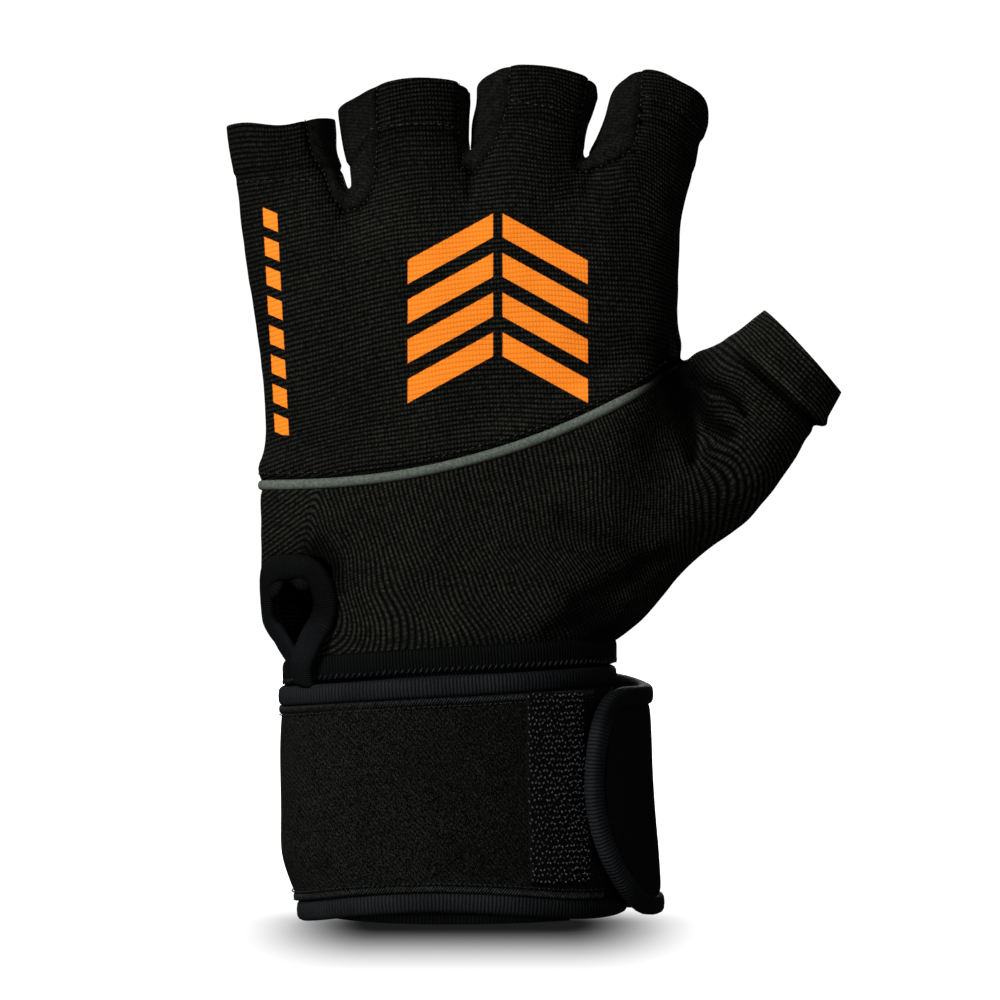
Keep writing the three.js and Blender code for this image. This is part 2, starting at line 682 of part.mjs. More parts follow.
// The upper edge follows the underside of the wrist hem's tape.
function strapHigh(along) {
  const { edgeX, edgeZ, crotchX, crotchZ, sag } = LOWER_ROWS[0];
  const share = clamp((strapPoint(along, LOWER_ROWS[0].edgeZ, 0).x - edgeX) / (crotchX - edgeX), 0, 1);
  const hem = lerp(edgeZ, crotchZ, share ** sag) - HEM_TAPE.height - HEM_TAPE.gap;
  return hem - tableValue(STRAP_EDGES, "along", along, "under");
}
const STRAP_GIRTH = 190; // about one turn of the outermost layer, to change millimetres into turns
const strapSteps = Math.round(STRAP.turns * STRAP.stepsPerTurn);

// Turns along the wrap at a step, for a row at a share of its width; inset keeps off the free end.
function strapAlong(step, share, inset) {
  const cut = tableValue(END_CUT, "share", share, "cut") + inset;
  const end = STRAP.turns - cut / STRAP_GIRTH;
  const t = step / strapSteps;
  const near = smooth(clamp((t - 0.9) / 0.1, 0, 1));
  return lerp(t * STRAP.turns, end * t, near);
}

// The band is a grid of two faces with a rim all round.
function strapMesh() {
  const inset = STRAP_TAPE.height + STRAP_TAPE.gap;
  const positions = [];
  [STRAP.thickness, 0].forEach((out) => {
    for (let s = 0; s <= strapSteps; s += 1) {
      for (let r = 0; r <= STRAP.rows; r += 1) {
        const share = r / STRAP.rows;
        const along = strapAlong(s, share, inset);
        const z = lerp(strapLow(along) + inset, strapHigh(along) - inset, share);
        positions.push(strapPoint(along, z, out));
      }
    }
  });
  const width = STRAP.rows + 1;
  const face = (strapSteps + 1) * width;
  const triangles = [];
  const quad = (a, b, c, d) => triangles.push(a, b, c, a, c, d);
  for (let s = 0; s < strapSteps; s += 1) {
    for (let r = 0; r < STRAP.rows; r += 1) {
      const a = s * width + r;
      quad(a, a + 1, a + width + 1, a + width);
      quad(face + a, face + a + width, face + a + width + 1, face + a + 1);
    }
    const low = s * width;
    const high = low + STRAP.rows;
    quad(low, low + width, face + low + width, face + low);
    quad(high, face + high, face + high + width, high + width);
  }
  const end = strapSteps * width;
  for (let r = 0; r < STRAP.rows; r += 1) {
    quad(r, face + r, face + r + 1, r + 1);
    quad(end + r, end + r + 1, face + end + r + 1, face + end + r);
  }
  return mesh("wrist_strap", geometryFrom(positions, triangles), COLOURS.wrapCloth, 0.9);
}

// Tape round the band: along the lower edge, round the free end and back along the upper edge.
function strapTapeMesh() {
  const half = STRAP_TAPE.height / 2;
  const station = (along, z) => {
    const at = strapPoint(along, z, 0);
    return { at, out: strapPoint(along, z, 1).sub(at).normalize() };
  };
  const path = [];
  for (let s = 0; s <= strapSteps; s += 1) {
    const along = strapAlong(s, 0, half);
    path.push(station(along, strapLow(along) + half));
  }
  END_CUT.slice(1, -1).forEach(({ share }) => {
    const along = strapAlong(strapSteps, share, half);
    path.push(station(along, lerp(strapLow(along) + half, strapHigh(along) - half, share)));
  });
  for (let s = strapSteps; s >= 0; s -= 1) {
    const along = strapAlong(s, 1, half);
    path.push(station(along, strapHigh(along) - half));
  }
  const section = tapeSection(STRAP_TAPE.height, 0, STRAP.thickness + STRAP_TAPE.proud);
  const geometry = sweepGeometry(stationsAlong(path, false), section, false);
  return mesh("strap_binding", geometry, COLOURS.tape, 0.8);
}

// Turns along the wrap, in its outer turn, at which the front has a given x.
function strapTurnAtX(x) {
  const middle = (HOOK.low + HOOK.high) / 2;
  let near = 1;
  let far = 1.25;
  for (let i = 0; i < 20; i += 1) {
    const along = (near + far) / 2;
    if (strapPoint(along, middle, STRAP.thickness).x > x) near = along;
    else far = along;
  }
  return near;
}

function hookMesh() {
  const from = strapTurnAtX(HOOK.toX);
  const to = strapTurnAtX(HOOK.fromX);
  const stations = [];
  for (let s = 0; s <= HOOK.steps; s += 1) {
    const along = lerp(from, to, s / HOOK.steps);
    const corners = [
      [HOOK.low, HOOK.gap],
      [HOOK.high, HOOK.gap],
      [HOOK.high, HOOK.gap + HOOK.thickness],
      [HOOK.low, HOOK.gap + HOOK.thickness],
    ];
    stations.push(corners.map(([z, out]) => strapPoint(along, z, STRAP.thickness + out)));
  }
  const triangles = [];
  for (let s = 0; s < HOOK.steps; s += 1) {
    for (let i = 0; i < 4; i += 1) {
      const j = (i + 1) % 4;
      const a = s * 4;
      triangles.push(a + i, a + 4 + j, a + j, a + i, a + 4 + i, a + 4 + j);
    }
  }
  const last = HOOK.steps * 4;
  triangles.push(0, 1, 2, 0, 2, 3, last, last + 2, last + 1, last, last + 3, last + 2);
  return mesh("hook_patch", geometryFrom(stations.flat(), triangles), COLOURS.hook, 0.6);
}

// The slit's tape runs round inside the slit and crosses over its own start, down to the hem.
function slitTapeMesh() {
  const { width, thickness, gap } = SLIT_TAPE;
  const places = [];
  for (let i = 0; i <= SLIT_LOOP.steps; i += 1) {
    const t = i / SLIT_LOOP.steps;
    const turn = THREE.MathUtils.degToRad(lerp(SLIT_LOOP.from, SLIT_LOOP.to, t));
    const lift = lerp(SLIT_LOOP.startLift, SLIT_LOOP.endLift, smooth(t));
    places.push({ ...slitPlace(turn, gap + width / 2), lift });
  }
  const path = [...places, ...SLIT_TAIL].map(({ column, row, lift }) => {
    const out = lowerPlace(normals, column, row).normalize();
    return { at: lowerPlace(flatPoints, column, row).addScaledVector(out, lift), out };
  });
  const section = tapeSection(width, -thickness / 2, thickness / 2);
  return mesh("slit_binding", sweepGeometry(stationsAlong(path, false), section, false), COLOURS.tape, 0.8);
}

const glove = new THREE.Group();
glove.add(
  mesh("upper_panel", panelGeometry("upper_panel"), COLOURS.ribbedKnit, 0.85),
  mesh("lower_panel", panelGeometry("lower_panel"), COLOURS.ribbedKnit, 0.85),
  mesh("palm_panel", panelGeometry("palm_panel"), COLOURS.ribbedKnit, 0.85),
  ...GUSSETS.map((name) => mesh(name, panelGeometry(name), COLOURS.smoothKnit, 0.8)),
  pipingMesh(),
  hemMesh(),
  slitTapeMesh(),
  strapMesh(),
  strapTapeMesh(),
  hookMesh(),
);

export default glove;
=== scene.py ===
"""Looks for the left-hand open-finger fitness glove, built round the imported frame.

Tables are in millimetres and repeat the frame's own named sizes. -Y is the back of the hand, +X the
thumb's side and +Z the fingers.
"""

import math
from functools import partial

import bmesh
import bpy
import numpy as np
from mathutils import Matrix, Vector, noise
from mathutils.bvhtree import BVHTree
from mathutils.kdtree import KDTree


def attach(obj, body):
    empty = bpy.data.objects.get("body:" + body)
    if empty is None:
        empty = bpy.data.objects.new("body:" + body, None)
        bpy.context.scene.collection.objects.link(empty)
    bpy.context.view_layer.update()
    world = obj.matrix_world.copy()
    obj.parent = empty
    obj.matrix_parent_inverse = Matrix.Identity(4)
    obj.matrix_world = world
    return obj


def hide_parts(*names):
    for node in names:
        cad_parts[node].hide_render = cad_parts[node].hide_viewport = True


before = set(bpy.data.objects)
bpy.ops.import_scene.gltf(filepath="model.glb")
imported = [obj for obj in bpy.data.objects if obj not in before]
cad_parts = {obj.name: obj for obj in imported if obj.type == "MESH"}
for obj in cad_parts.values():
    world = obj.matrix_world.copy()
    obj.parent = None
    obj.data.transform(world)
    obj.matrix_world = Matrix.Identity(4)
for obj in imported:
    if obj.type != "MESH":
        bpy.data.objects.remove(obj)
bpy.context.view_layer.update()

MM = 0.001


def table(names, *rows):
    """A table as a list of rows with named columns."""
    return [dict(zip(names, row)) for row in rows]


# The shell's net, as in the frame.
COLUMNS_PER_STALL = 6
STALLS = 4
HAND_COLUMNS = COLUMNS_PER_STALL * STALLS
ALL_COLUMNS = HAND_COLUMNS + COLUMNS_PER_STALL
SIDE_CELLS = 4
BODY_ROUNDNESS = 2.6
STALL_ROUNDNESS = 2.3
BODY_INSET = 0.025
CREASE_WIDTH = 0.055
VALLEY_WIDTH = 0.045
LOWER_ROWS = table(
    ("edge_x", "edge_z", "crotch_x", "crotch_z", "thumb_x", "thumb_z", "sag", "front", "back", "crease"),
    (-40.2, 57.0, 23.0, 62.2, 31.8, 62.0, 0.55, 23.5, 22, 0),
    (-42.6, 60.0, 28.5, 67.5, 38.2, 66.0, 0.9, 23, 21.5, 0),
    (-45.4, 66.5, 33.6, 78.0, 43.9, 73.0, 1.2, 22, 21, 0),
    (-45.8, 73.0, 38.0, 89.0, 49.6, 79.0, 1.5, 21, 20, 0.03),
    (-46.2, 80.5, 41.8, 100.0, 55.4, 83.6, 1.8, 20.5, 19, 0.16),
    (-46.0, 88.0, 44.6, 111.5, 60.2, 87.0, 2.1, 20, 18, 0.38),
    (-46.2, 95.7, 46.9, 122.8, 64.4, 91.3, 2.4, 19, 17, 0.5),
)
UPPER_ROWS = table(
    ("share", "front", "back", "valley"),
    (0.16, 18.6, 16.6, 0),
    (0.33, 18.2, 16.2, 0),
    (0.5, 17.6, 15.6, 0),
    (0.67, 16.8, 15, 0.3),
    (0.84, 15.8, 14, 1.4),
    (1, 14.6, 13, 5),
)
HAND_CONTOUR = table(
    ("z", "left", "right"),
    (90, -46.4, 46.2),
    (104, -44.9, 46.2),
    (108, -43.8, 46.3),
    (122, -45.6, 46.4),
    (132, -46.8, 46.3),
    (144, -49.2, 45.8),
    (152, -50.2, 46.4),
    (160, -50.8, 48.0),
    (168, -51.6, 49.8),
)
GAP_FEET = table(("share", "z"), (0, 160.0), (0.242, 160.8), (0.516, 168.6), (0.772, 167.2), (1, 164.5))
GAP_FOOT_DIP = 1.3
STALL_TABLE = table(
    (
        "foot_l", "foot_r", "foot_z", "top_l", "top_lz", "top_r", "top_rz",
        "front", "back", "inset_l", "inset_r", "fall",
    ),
    (-51.4, -27.6, 163.5, -53.0, 175.4, -29.9, 177.2, 10.6, 9.6, 0.03, 0.26, 0.05),
    (-26.5, -0.3, 166.5, -29.0, 183.4, -0.5, 185.6, 12.2, 11, 0.32, 0.06, 0.4),
    (0.6, 25.2, 171.5, 1.3, 188.2, 28.2, 186.4, 12.6, 11.4, 0.28, 0.07, 0.45),
    (27.0, 50.8, 169.5, 31.4, 188.2, 53.3, 184.2, 12.0, 11, 0.25, 0.05, 0.72),
)
STALL_ROWS = 4
PALM_FALL = 0.15
THUMB_TABLE = table(
    ("up_x", "up_z", "low_x", "low_z", "front", "back", "inset_up"),
    (50.2, 124.4, 67.8, 95.4, 13.4, 13, 0.08),
    (53.3, 126.4, 70.8, 99.9, 12.8, 12.4, 0.07),
    (56.3, 128.6, 73.3, 103.8, 12.2, 12, 0.06),
    (58.8, 130.3, 74.9, 107.0, 11.6, 11.6, 0.05),
    (60.0, 131.2, 77.2, 108.6, 12.2, 12, 0.05),
    (62.4, 133.1, 79.5, 112.4, 11.9, 11.7, 0.05),
    (64.8, 134.8, 81.5, 116.6, 11.4, 11.2, 0.05),
)
THUMB_SET_BACK = 2.5
THUMB_SET_BACK_FROM = 0.7
THUMB_WEB_RISE = 0.6
SLIT = {"first_column": -1, "last_column": 4, "first_row": 1, "last_row": 4, "roundness": 3}
SLIT_TAPE = {"width": 5.2, "thickness": 2.1, "gap": -0.35, "column_size": 4.2, "row_size": 6.8}
SLIT_LOOP = {"start": 238, "end": -42, "steps": 40, "start_lift": -0.3, "end_lift": 0.9}
SLIT_FOLD = {"start": 156, "end": 40, "steps": 24, "waves": 1.6, "width": 3.6, "sway": 0.9, "heave": 0.5}
SLIT_HEAD = table(
    ("column", "row", "lift"),
    (1.2, -1.3, 1.5),
    (1.1, -0.5, 1.7),
    (0.95, 0.3, 1.7),
    (0.65, 1.0, 0.6),
)
SLIT_TAIL = table(
    ("column", "row", "lift"),
    (2.75, 1.25, 1.7),
    (2.4, 0.8, 2.5),
    (1.9, 0.3, 3.3),
    (1.4, -0.5, 3.5),
    (0.9, -1.4, 3.2),
)

PANELS = (
    "upper_panel",
    "lower_panel",
    "palm_panel",
    "gusset_little_ring",
    "gusset_ring_middle",
    "gusset_middle_index",
)
UPPER, LOWER, PALM, FIRST_GUSSET = 0, 1, 2, 3
WALL = 1.2
SUBDIVISIONS = 3

# The wrist wrap, as in the frame.
STRAP = {
    "thickness": 2.8,
    "pitch": 4.3,
    "half_width": 28.8,
    "half_front": 20,
    "half_back": 19,
    "centre_x": -3.7,
    "start_angle": -42,
    "turns": 2.02,
    "steps": 180,
    "roundness": 2.25,
}
STRAP_EDGES = table(
    ("along", "low", "under", "extra"),
    (0, 1.7, 0.9, 0),
    (0.13, 1.5, 0.4, 0),
    (0.385, 2.0, 0.4, 0),
    (0.635, 1.6, 0.4, 0),
    (0.885, 2.6, 0.4, 0),
    (0.99, 2.2, 0.5, 0),
    (1.14, 4.4, 0.6, 0),
    (1.385, 0.6, 0.6, 0),
    (1.635, 1.0, 0.6, 0),
    (1.78, 1.6, 2.6, 2.4),
    (1.885, 2.3, 4.6, 3.8),
    (2.02, 2.9, 4.6, 1.7),
)
LEFT_TUCK = {"depth": 4.4, "below": 17}
RIGHT_FLARE = {"depth": 2.5, "below": 46}
END_CUT = table(
    ("share", "cut"),
    (0, 10.5), (0.1, 6.4), (0.25, 2.6), (0.42, 0.4), (0.55, 0), (0.72, 0.8), (0.88, 2.4), (1, 4.2),
)
STRAP_TAPE = {"height": 4.4, "proud": 0.75, "gap": 0.1}
STRAP_GIRTH = 190
HOOK = {"from_x": 12.4, "to_x": 32.6, "low": 10.4, "high": 51.4, "base": 0.45, "seat": 0.4}
HOOK_GRID = {"across": 16, "up": 33, "stagger": 0.25, "jitter_across": 0.03, "jitter_up": 0.014, "seed": 7}
HEM_TAPE = {"height": 5.7, "thickness": 3.2, "gap": -0.5}
PIPING = {
    "width": 2.3,
    "thickness": 2.4,
    "proud": 0.75,
    "lift": 0.5,
    "smoothed": 12,
    "narrow_rings": 20,
    "narrowed_by": 0.6,
}


def lerp(a, b, t):
    return a + (b - a) * t


def clamp(value, low=0.0, high=1.0):
    return max(low, min(high, value))


def smooth(t):
    return t * t * (3 - 2 * t)


def ease(values, low, high):
    """From 0 at low to 1 at high, smoothly, for an array or a number."""
    return smooth(np.clip((values - low) / (high - low), 0, 1))


def bell(values, width):
    """1 where a value is 0, and smoothly down to 0 past the width, for an array or a number."""
    return np.exp(-((values / width) ** 2))


def squared(part, power):
    """A sine or cosine drawn out by a power, which makes a circle squarer and keeps its sign."""
    return math.copysign(abs(part) ** power, part)


def table_value(rows, key_name, key, column):
    """Value of a table's column at a key between its rows, without overshoot."""
    if key <= rows[0][key_name]:
        return rows[0][column]
    if key >= rows[-1][key_name]:
        return rows[-1][column]
    after = next(i for i, row in enumerate(rows) if row[key_name] > key)
    low, high = rows[after - 1], rows[after]
    t = (key - low[key_name]) / (high[key_name] - low[key_name])
    return lerp(low[column], high[column], smooth(t))


# Making and finishing meshes


def link(name, mesh):
    made = bpy.data.objects.new(name, mesh)
    bpy.context.scene.collection.objects.link(made)
    return made


def object_from(name, bm, scale=MM):
    """A bmesh in millimetres becomes an object in metres, smooth shaded."""
    bmesh.ops.scale(bm, vec=(scale,) * 3, verts=bm.verts)
    mesh = bpy.data.meshes.new(name)
    bm.to_mesh(mesh)
    bm.free()
    mesh.shade_smooth()
    return link(name, mesh)


def extrude_ring(bm, ring, places):
    """Extrudes a closed ring of vertices to new places; gives the new ring and (face, cell) pairs."""
    edges = [bm.edges.get((ring[i - 1], vertex)) for i, vertex in enumerate(ring)]
    made = bmesh.ops.extrude_edge_only(bm, edges=edges)["geom"]
    fresh = {item for item in made if isinstance(item, bmesh.types.BMVert)}
    following = [
        next(edge.other_vert(v) for edge in v.link_edges if edge.other_vert(v) in fresh) for v in ring
    ]
    for vertex, place in zip(following, places):
        vertex.co = place
    number = {vertex: i for i, vertex in enumerate(ring)}
    faces = []
    for face in made:
        if isinstance(face, bmesh.types.BMFace):
            i, j = sorted(number[v] for v in face.verts if v in number)
            faces.append((face, i if j == i + 1 else j))
    return following, faces


def first_ring(bm, places):
    ring = [bm.verts.new(place) for place in places]
    for i, vertex in enumerate(ring):
        bm.edges.new((ring[i - 1], vertex))
    return ring


def sweep(name, rings, closed=False, subdivide=0):
    """A tube through rings of places. Its UV map gives millimetres along the path and round it."""
    bm = bmesh.new()
    uv = bm.loops.layers.uv.new("cloth")
    size = len(rings[0])
    centres = [sum(ring, Vector()) / size for ring in rings]
    girth = sum((rings[0][i] - rings[0][i - 1]).length for i in range(size))
    ring = start = first_ring(bm, rings[0])
    along = 0.0
    steps = len(rings) if closed else len(rings) - 1
    for k in range(1, steps + 1):
        last = closed and k == steps
        target = rings[k % len(rings)]
        step = (centres[k % len(rings)] - centres[k - 1]).length
        following, faces = extrude_ring(bm, ring, target)
        for face, cell in faces:
            for loop in face.loops:
                fresh = loop.vert in following
                at = (following if fresh else ring).index(loop.vert)
                around = at if at >= cell else at + size
                loop[uv].uv = (along + step if fresh else along, around * girth / size)
        if last:
            targets = dict(zip(following, start))
            bmesh.ops.weld_verts(bm, targetmap=targets)
        along += step
        ring = following
    if not closed:
        bmesh.ops.contextual_create(bm, geom=start)
        bmesh.ops.contextual_create(bm, geom=ring)
    bmesh.ops.recalc_face_normals(bm, faces=bm.faces)
    made = object_from(name, bm)
    if subdivide:
        add_subdivision(made, subdivide)
    return made


def add_subdivision(obj, levels):
    modifier = obj.modifiers.new("round", "SUBSURF")
    modifier.levels = modifier.render_levels = levels


def add_wall(obj, thickness, offset=-1.0):
    modifier = obj.modifiers.new("wall", "SOLIDIFY")
    modifier.thickness = thickness * MM
    modifier.offset = offset
    modifier.use_rim = True


def evaluated_mesh(obj):
    graph = bpy.context.evaluated_depsgraph_get()
    return bpy.data.meshes.new_from_object(obj.evaluated_get(graph))


def finish_piece(obj, material, nodes=()):
    """Gives a piece its material and its place on the glove's one body."""
    obj.data.materials.clear()
    obj.data.materials.append(material)
    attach(obj, "root")
    if nodes:
        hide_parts(*nodes)
    return obj


def read_mesh(mesh):
    """Vertex places in millimetres and normals of a mesh, as arrays."""
    count = len(mesh.vertices)
    places = np.zeros(count * 3)
    mesh.vertices.foreach_get("co", places)
    normals = np.zeros(count * 3)
    mesh.vertex_normals.foreach_get("vector", normals)
    return places.reshape(-1, 3) / MM, normals.reshape(-1, 3)


def write_mesh(mesh, places):
    mesh.vertices.foreach_set("co", (places * MM).astype(np.float32).ravel())
    mesh.update()


# The shell's net


def section_depth(share, roundness):
    return max(0.0, 1 - abs(2 * share - 1) ** roundness) ** (1 / roundness)


def section_share(depth, roundness):
    return (1 - (1 - clamp(abs(depth)) ** roundness) ** (1 / roundness)) / 2


def make_ring(spine, shares, front, back, roundness, shift):
    """Places of one ring, in order: front, right side, back and left side."""

    def place(share, y):
        x, z = spine(share)
        depth, rise = shift(share, y)
        return Vector((x, depth, z + rise))

    def row(depth):
        return [place(share, depth * section_depth(share, roundness)) for share in shares]

    def side(edge_share, is_right):
        part = section_depth(edge_share, roundness)
        made = []
        for i in range(1, SIDE_CELLS):
            turn = lerp(-1, 1, i / SIDE_CELLS) * part
            share = section_share(turn, roundness)
            made.append(place(1 - share if is_right else share, turn * (front if turn < 0 else back)))
        return made

    return row(-front) + side(shares[-1], True) + row(back)[::-1] + side(shares[0], False)[::-1]


def parts_of(ring, columns):
    """The front, right, back and left of a ring, each from left to right or from front to back."""
    right_from = columns + 1
    back_from = right_from + SIDE_CELLS - 1
    left_from = back_from + columns + 1
    right, back = ring[right_from:back_from], ring[back_from:left_from][::-1]
    return ring[:right_from], right, back, ring[left_from:][::-1]


def side_of_cell(cell, columns):
    if cell < columns:
        return "front"
    if cell < columns + SIDE_CELLS:
        return "right"
    if cell < 2 * columns + SIDE_CELLS:
        return "back"
    return "left"


def hand_shares():
    shares = []
    for stall in range(STALLS):
        for i in range(COLUMNS_PER_STALL):
            part = i / COLUMNS_PER_STALL
            shares.append(lerp(GAP_FEET[stall]["share"], GAP_FEET[stall + 1]["share"], part))
    return [lerp(BODY_INSET, 1 - BODY_INSET, share) for share in [*shares, 1]]


def lower_ring(row):
    """A lower row: its curve from the little finger's edge to the crotch column and on to the thumb."""
    crotch = (row["crotch_x"] - row["edge_x"]) / (row["thumb_x"] - row["edge_x"])

    def spine(share):
        if share <= crotch:
            t = share / crotch
            z = lerp(row["edge_z"], row["crotch_z"], t ** row["sag"])
            return lerp(row["edge_x"], row["crotch_x"], t), z
        t = (share - crotch) / (1 - crotch)
        return lerp(row["crotch_x"], row["thumb_x"], t), lerp(row["crotch_z"], row["thumb_z"], t)

    def shift(share, y):
        near = math.exp(-(((share - crotch) / CREASE_WIDTH) ** 2))
        turned = clamp((share - THUMB_SET_BACK_FROM) / (1 - THUMB_SET_BACK_FROM))
        return y * (1 - near * row["crease"]) + THUMB_SET_BACK * smooth(turned), 0

    spread = 1 - 2 * BODY_INSET
    hand = [lerp(BODY_INSET, crotch, (share - BODY_INSET) / spread) for share in hand_shares()]
    steps = range(1, COLUMNS_PER_STALL + 1)
    thumb = [lerp(crotch, 1 - BODY_INSET, i / COLUMNS_PER_STALL) for i in steps]
    return make_ring(spine, hand + thumb, row["front"], row["back"], BODY_ROUNDNESS, shift)


def piping_height(share):
    row = LOWER_ROWS[-1]
    return lerp(row["edge_z"], row["crotch_z"], share ** row["sag"])


def upper_ring(row):
    gaps = [lerp(BODY_INSET, 1 - BODY_INSET, gap["share"]) for gap in GAP_FEET[1:STALLS]]

    def spine(share):
        foot = table_value(GAP_FEET, "share", share, "z") - GAP_FOOT_DIP
        z = lerp(piping_height(share), foot, row["share"])
        left = table_value(HAND_CONTOUR, "z", z, "left")
        return lerp(left, table_value(HAND_CONTOUR, "z", z, "right"), share), z

    def shift(share, y):
        near = sum(math.exp(-(((share - gap) / VALLEY_WIDTH) ** 2)) for gap in gaps)
        return y - math.copysign(near * row["valley"], y) * (y != 0), 0

    return make_ring(spine, hand_shares(), row["front"], row["back"], BODY_ROUNDNESS, shift)


def web(bm, front, back, rise):
    """Vertices of a gap's foot, from the back of the hand to the palm."""
    made = []
    for i in range(1, SIDE_CELLS):
        at = front.co.lerp(back.co, i / SIDE_CELLS)
        at.z += rise * math.sin(math.pi * i / SIDE_CELLS)
        made.append(bm.verts.new(at))
    chain = [front, *made, back]
    for a, b in zip(chain, chain[1:]):
        bm.edges.new((a, b))
    return made


def stall_ring(stall, t):
    left_x, left_z = lerp(stall["foot_l"], stall["top_l"], t), lerp(stall["foot_z"], stall["top_lz"], t)
    right_x, right_z = lerp(stall["foot_r"], stall["top_r"], t), lerp(stall["foot_z"], stall["top_rz"], t)
    fall = stall["fall"] * smooth(t)
    steps = range(COLUMNS_PER_STALL + 1)
    shares = [lerp(stall["inset_l"], 1 - stall["inset_r"], c / COLUMNS_PER_STALL) for c in steps]

    def spine(share):
        return lerp(left_x, right_x, share), lerp(left_z, right_z, share)

    def shift(_share, y):
        return y, -fall * (min(y, 0) + stall["front"] + PALM_FALL * max(y, 0))

    return make_ring(spine, shares, stall["front"], stall["back"], STALL_ROUNDNESS, shift)


def thumb_ring(row):
    steps = range(COLUMNS_PER_STALL + 1)
    shares = [lerp(row["inset_up"], 1 - BODY_INSET * 2, c / COLUMNS_PER_STALL) for c in steps]

    def spine(share):
        return lerp(row["up_x"], row["low_x"], share), lerp(row["up_z"], row["low_z"], share)

    def shift(_share, y):
        return y + THUMB_SET_BACK, 0

    return make_ring(spine, shares, row["front"], row["back"], STALL_ROUNDNESS, shift)


def grow(bm, ring, places, panel_of):
    """Extrudes a ring and gives each new face its panel, as a material number."""
    following, faces = extrude_ring(bm, ring, places)
    for face, cell in faces:
        face.material_index = panel_of(cell)
    return following, faces


def lower_place(rings, column, row):
    """A place on the lower shell at a broken column and row; columns under 0 go round the edge."""
    c = clamp(math.floor(column), 1 - SIDE_CELLS, ALL_COLUMNS - 1)
    r = clamp(math.floor(row), 0, len(LOWER_ROWS) - 2)
    low = rings[r][c].lerp(rings[r][c + 1], column - c)
    high = rings[r + 1][c].lerp(rings[r + 1][c + 1], column - c)
    return low.lerp(high, row - r)


def slit_place(turn, inset):
    """Column and row on an outline round the slit, drawn in from its edge by some millimetres."""
    columns = (SLIT["last_column"] - SLIT["first_column"]) / 2 - inset / SLIT_TAPE["column_size"]
    rows = (SLIT["last_row"] - SLIT["first_row"]) / 2 - inset / SLIT_TAPE["row_size"]
    power = 2 / SLIT["roundness"]
    column = (SLIT["last_column"] + SLIT["first_column"]) / 2 + columns * squared(math.cos(turn), power)
    return column, (SLIT["last_row"] + SLIT["first_row"]) / 2 + rows * squared(math.sin(turn), power)


def round_slit(lower, flat):
    """Moves the slit's border from its square onto a rounded outline."""
    c0, c1, r0, r1 = SLIT["first_column"], SLIT["last_column"], SLIT["first_row"], SLIT["last_row"]
    for r in range(r0, r1 + 1):
        for c in range(c0, c1 + 1):
            if r0 < r < r1 and c0 < c < c1:
                continue
            across = 2 * (c - c0) / (c1 - c0) - 1
            up = 2 * (r - r0) / (r1 - r0) - 1
            size = sum(abs(part) ** SLIT["roundness"] for part in (across, up)) ** (1 / SLIT["roundness"])
            column = (c0 + c1) / 2 + across / size * (c1 - c0) / 2
            lower[r][c].co = lower_place(flat, column, (r0 + r1) / 2 + up / size * (r1 - r0) / 2)


def hand_panel(columns, front_panel, cell):
    """The panel of a cell in a row round the hand."""
    return PALM if side_of_cell(cell, columns) == "back" else front_panel


def stall_panel(index, cell):
    """The panel of a cell in a finger stall, whose sides in the gaps are gussets."""
    side = side_of_cell(cell, COLUMNS_PER_STALL)
    if side == "front":
        return UPPER
    if side == "back":
        return PALM
    gap = index if side == "left" else index + 1
    return UPPER if gap in (0, STALLS) else FIRST_GUSSET + gap - 1


def in_slit(row, cell):
    """Whether a cell of a lower row belongs to the slit; cells behind the left edge count from below 0."""
    cells_round = 2 * (ALL_COLUMNS + 1) + 2 * (SIDE_CELLS - 1)
    column = cell if cell < ALL_COLUMNS else cell - cells_round
    in_columns = SLIT["first_column"] <= column < SLIT["last_column"]
    return in_columns and SLIT["first_row"] <= row < SLIT["last_row"]


def add_stalls(bm, front, back, webs):
    """Finger stalls, each from its stretch of the hand's last row and the feet of the gaps beside it."""
    for index, stall in enumerate(STALL_TABLE):
        span = slice(index * COLUMNS_PER_STALL, (index + 1) * COLUMNS_PER_STALL + 1)
        ring = front[span] + webs[index + 1] + back[span][::-1] + webs[index][::-1]
        for k in range(1, STALL_ROWS + 1):
            ring, _ = grow(bm, ring, stall_ring(stall, k / STALL_ROWS), partial(stall_panel, index))


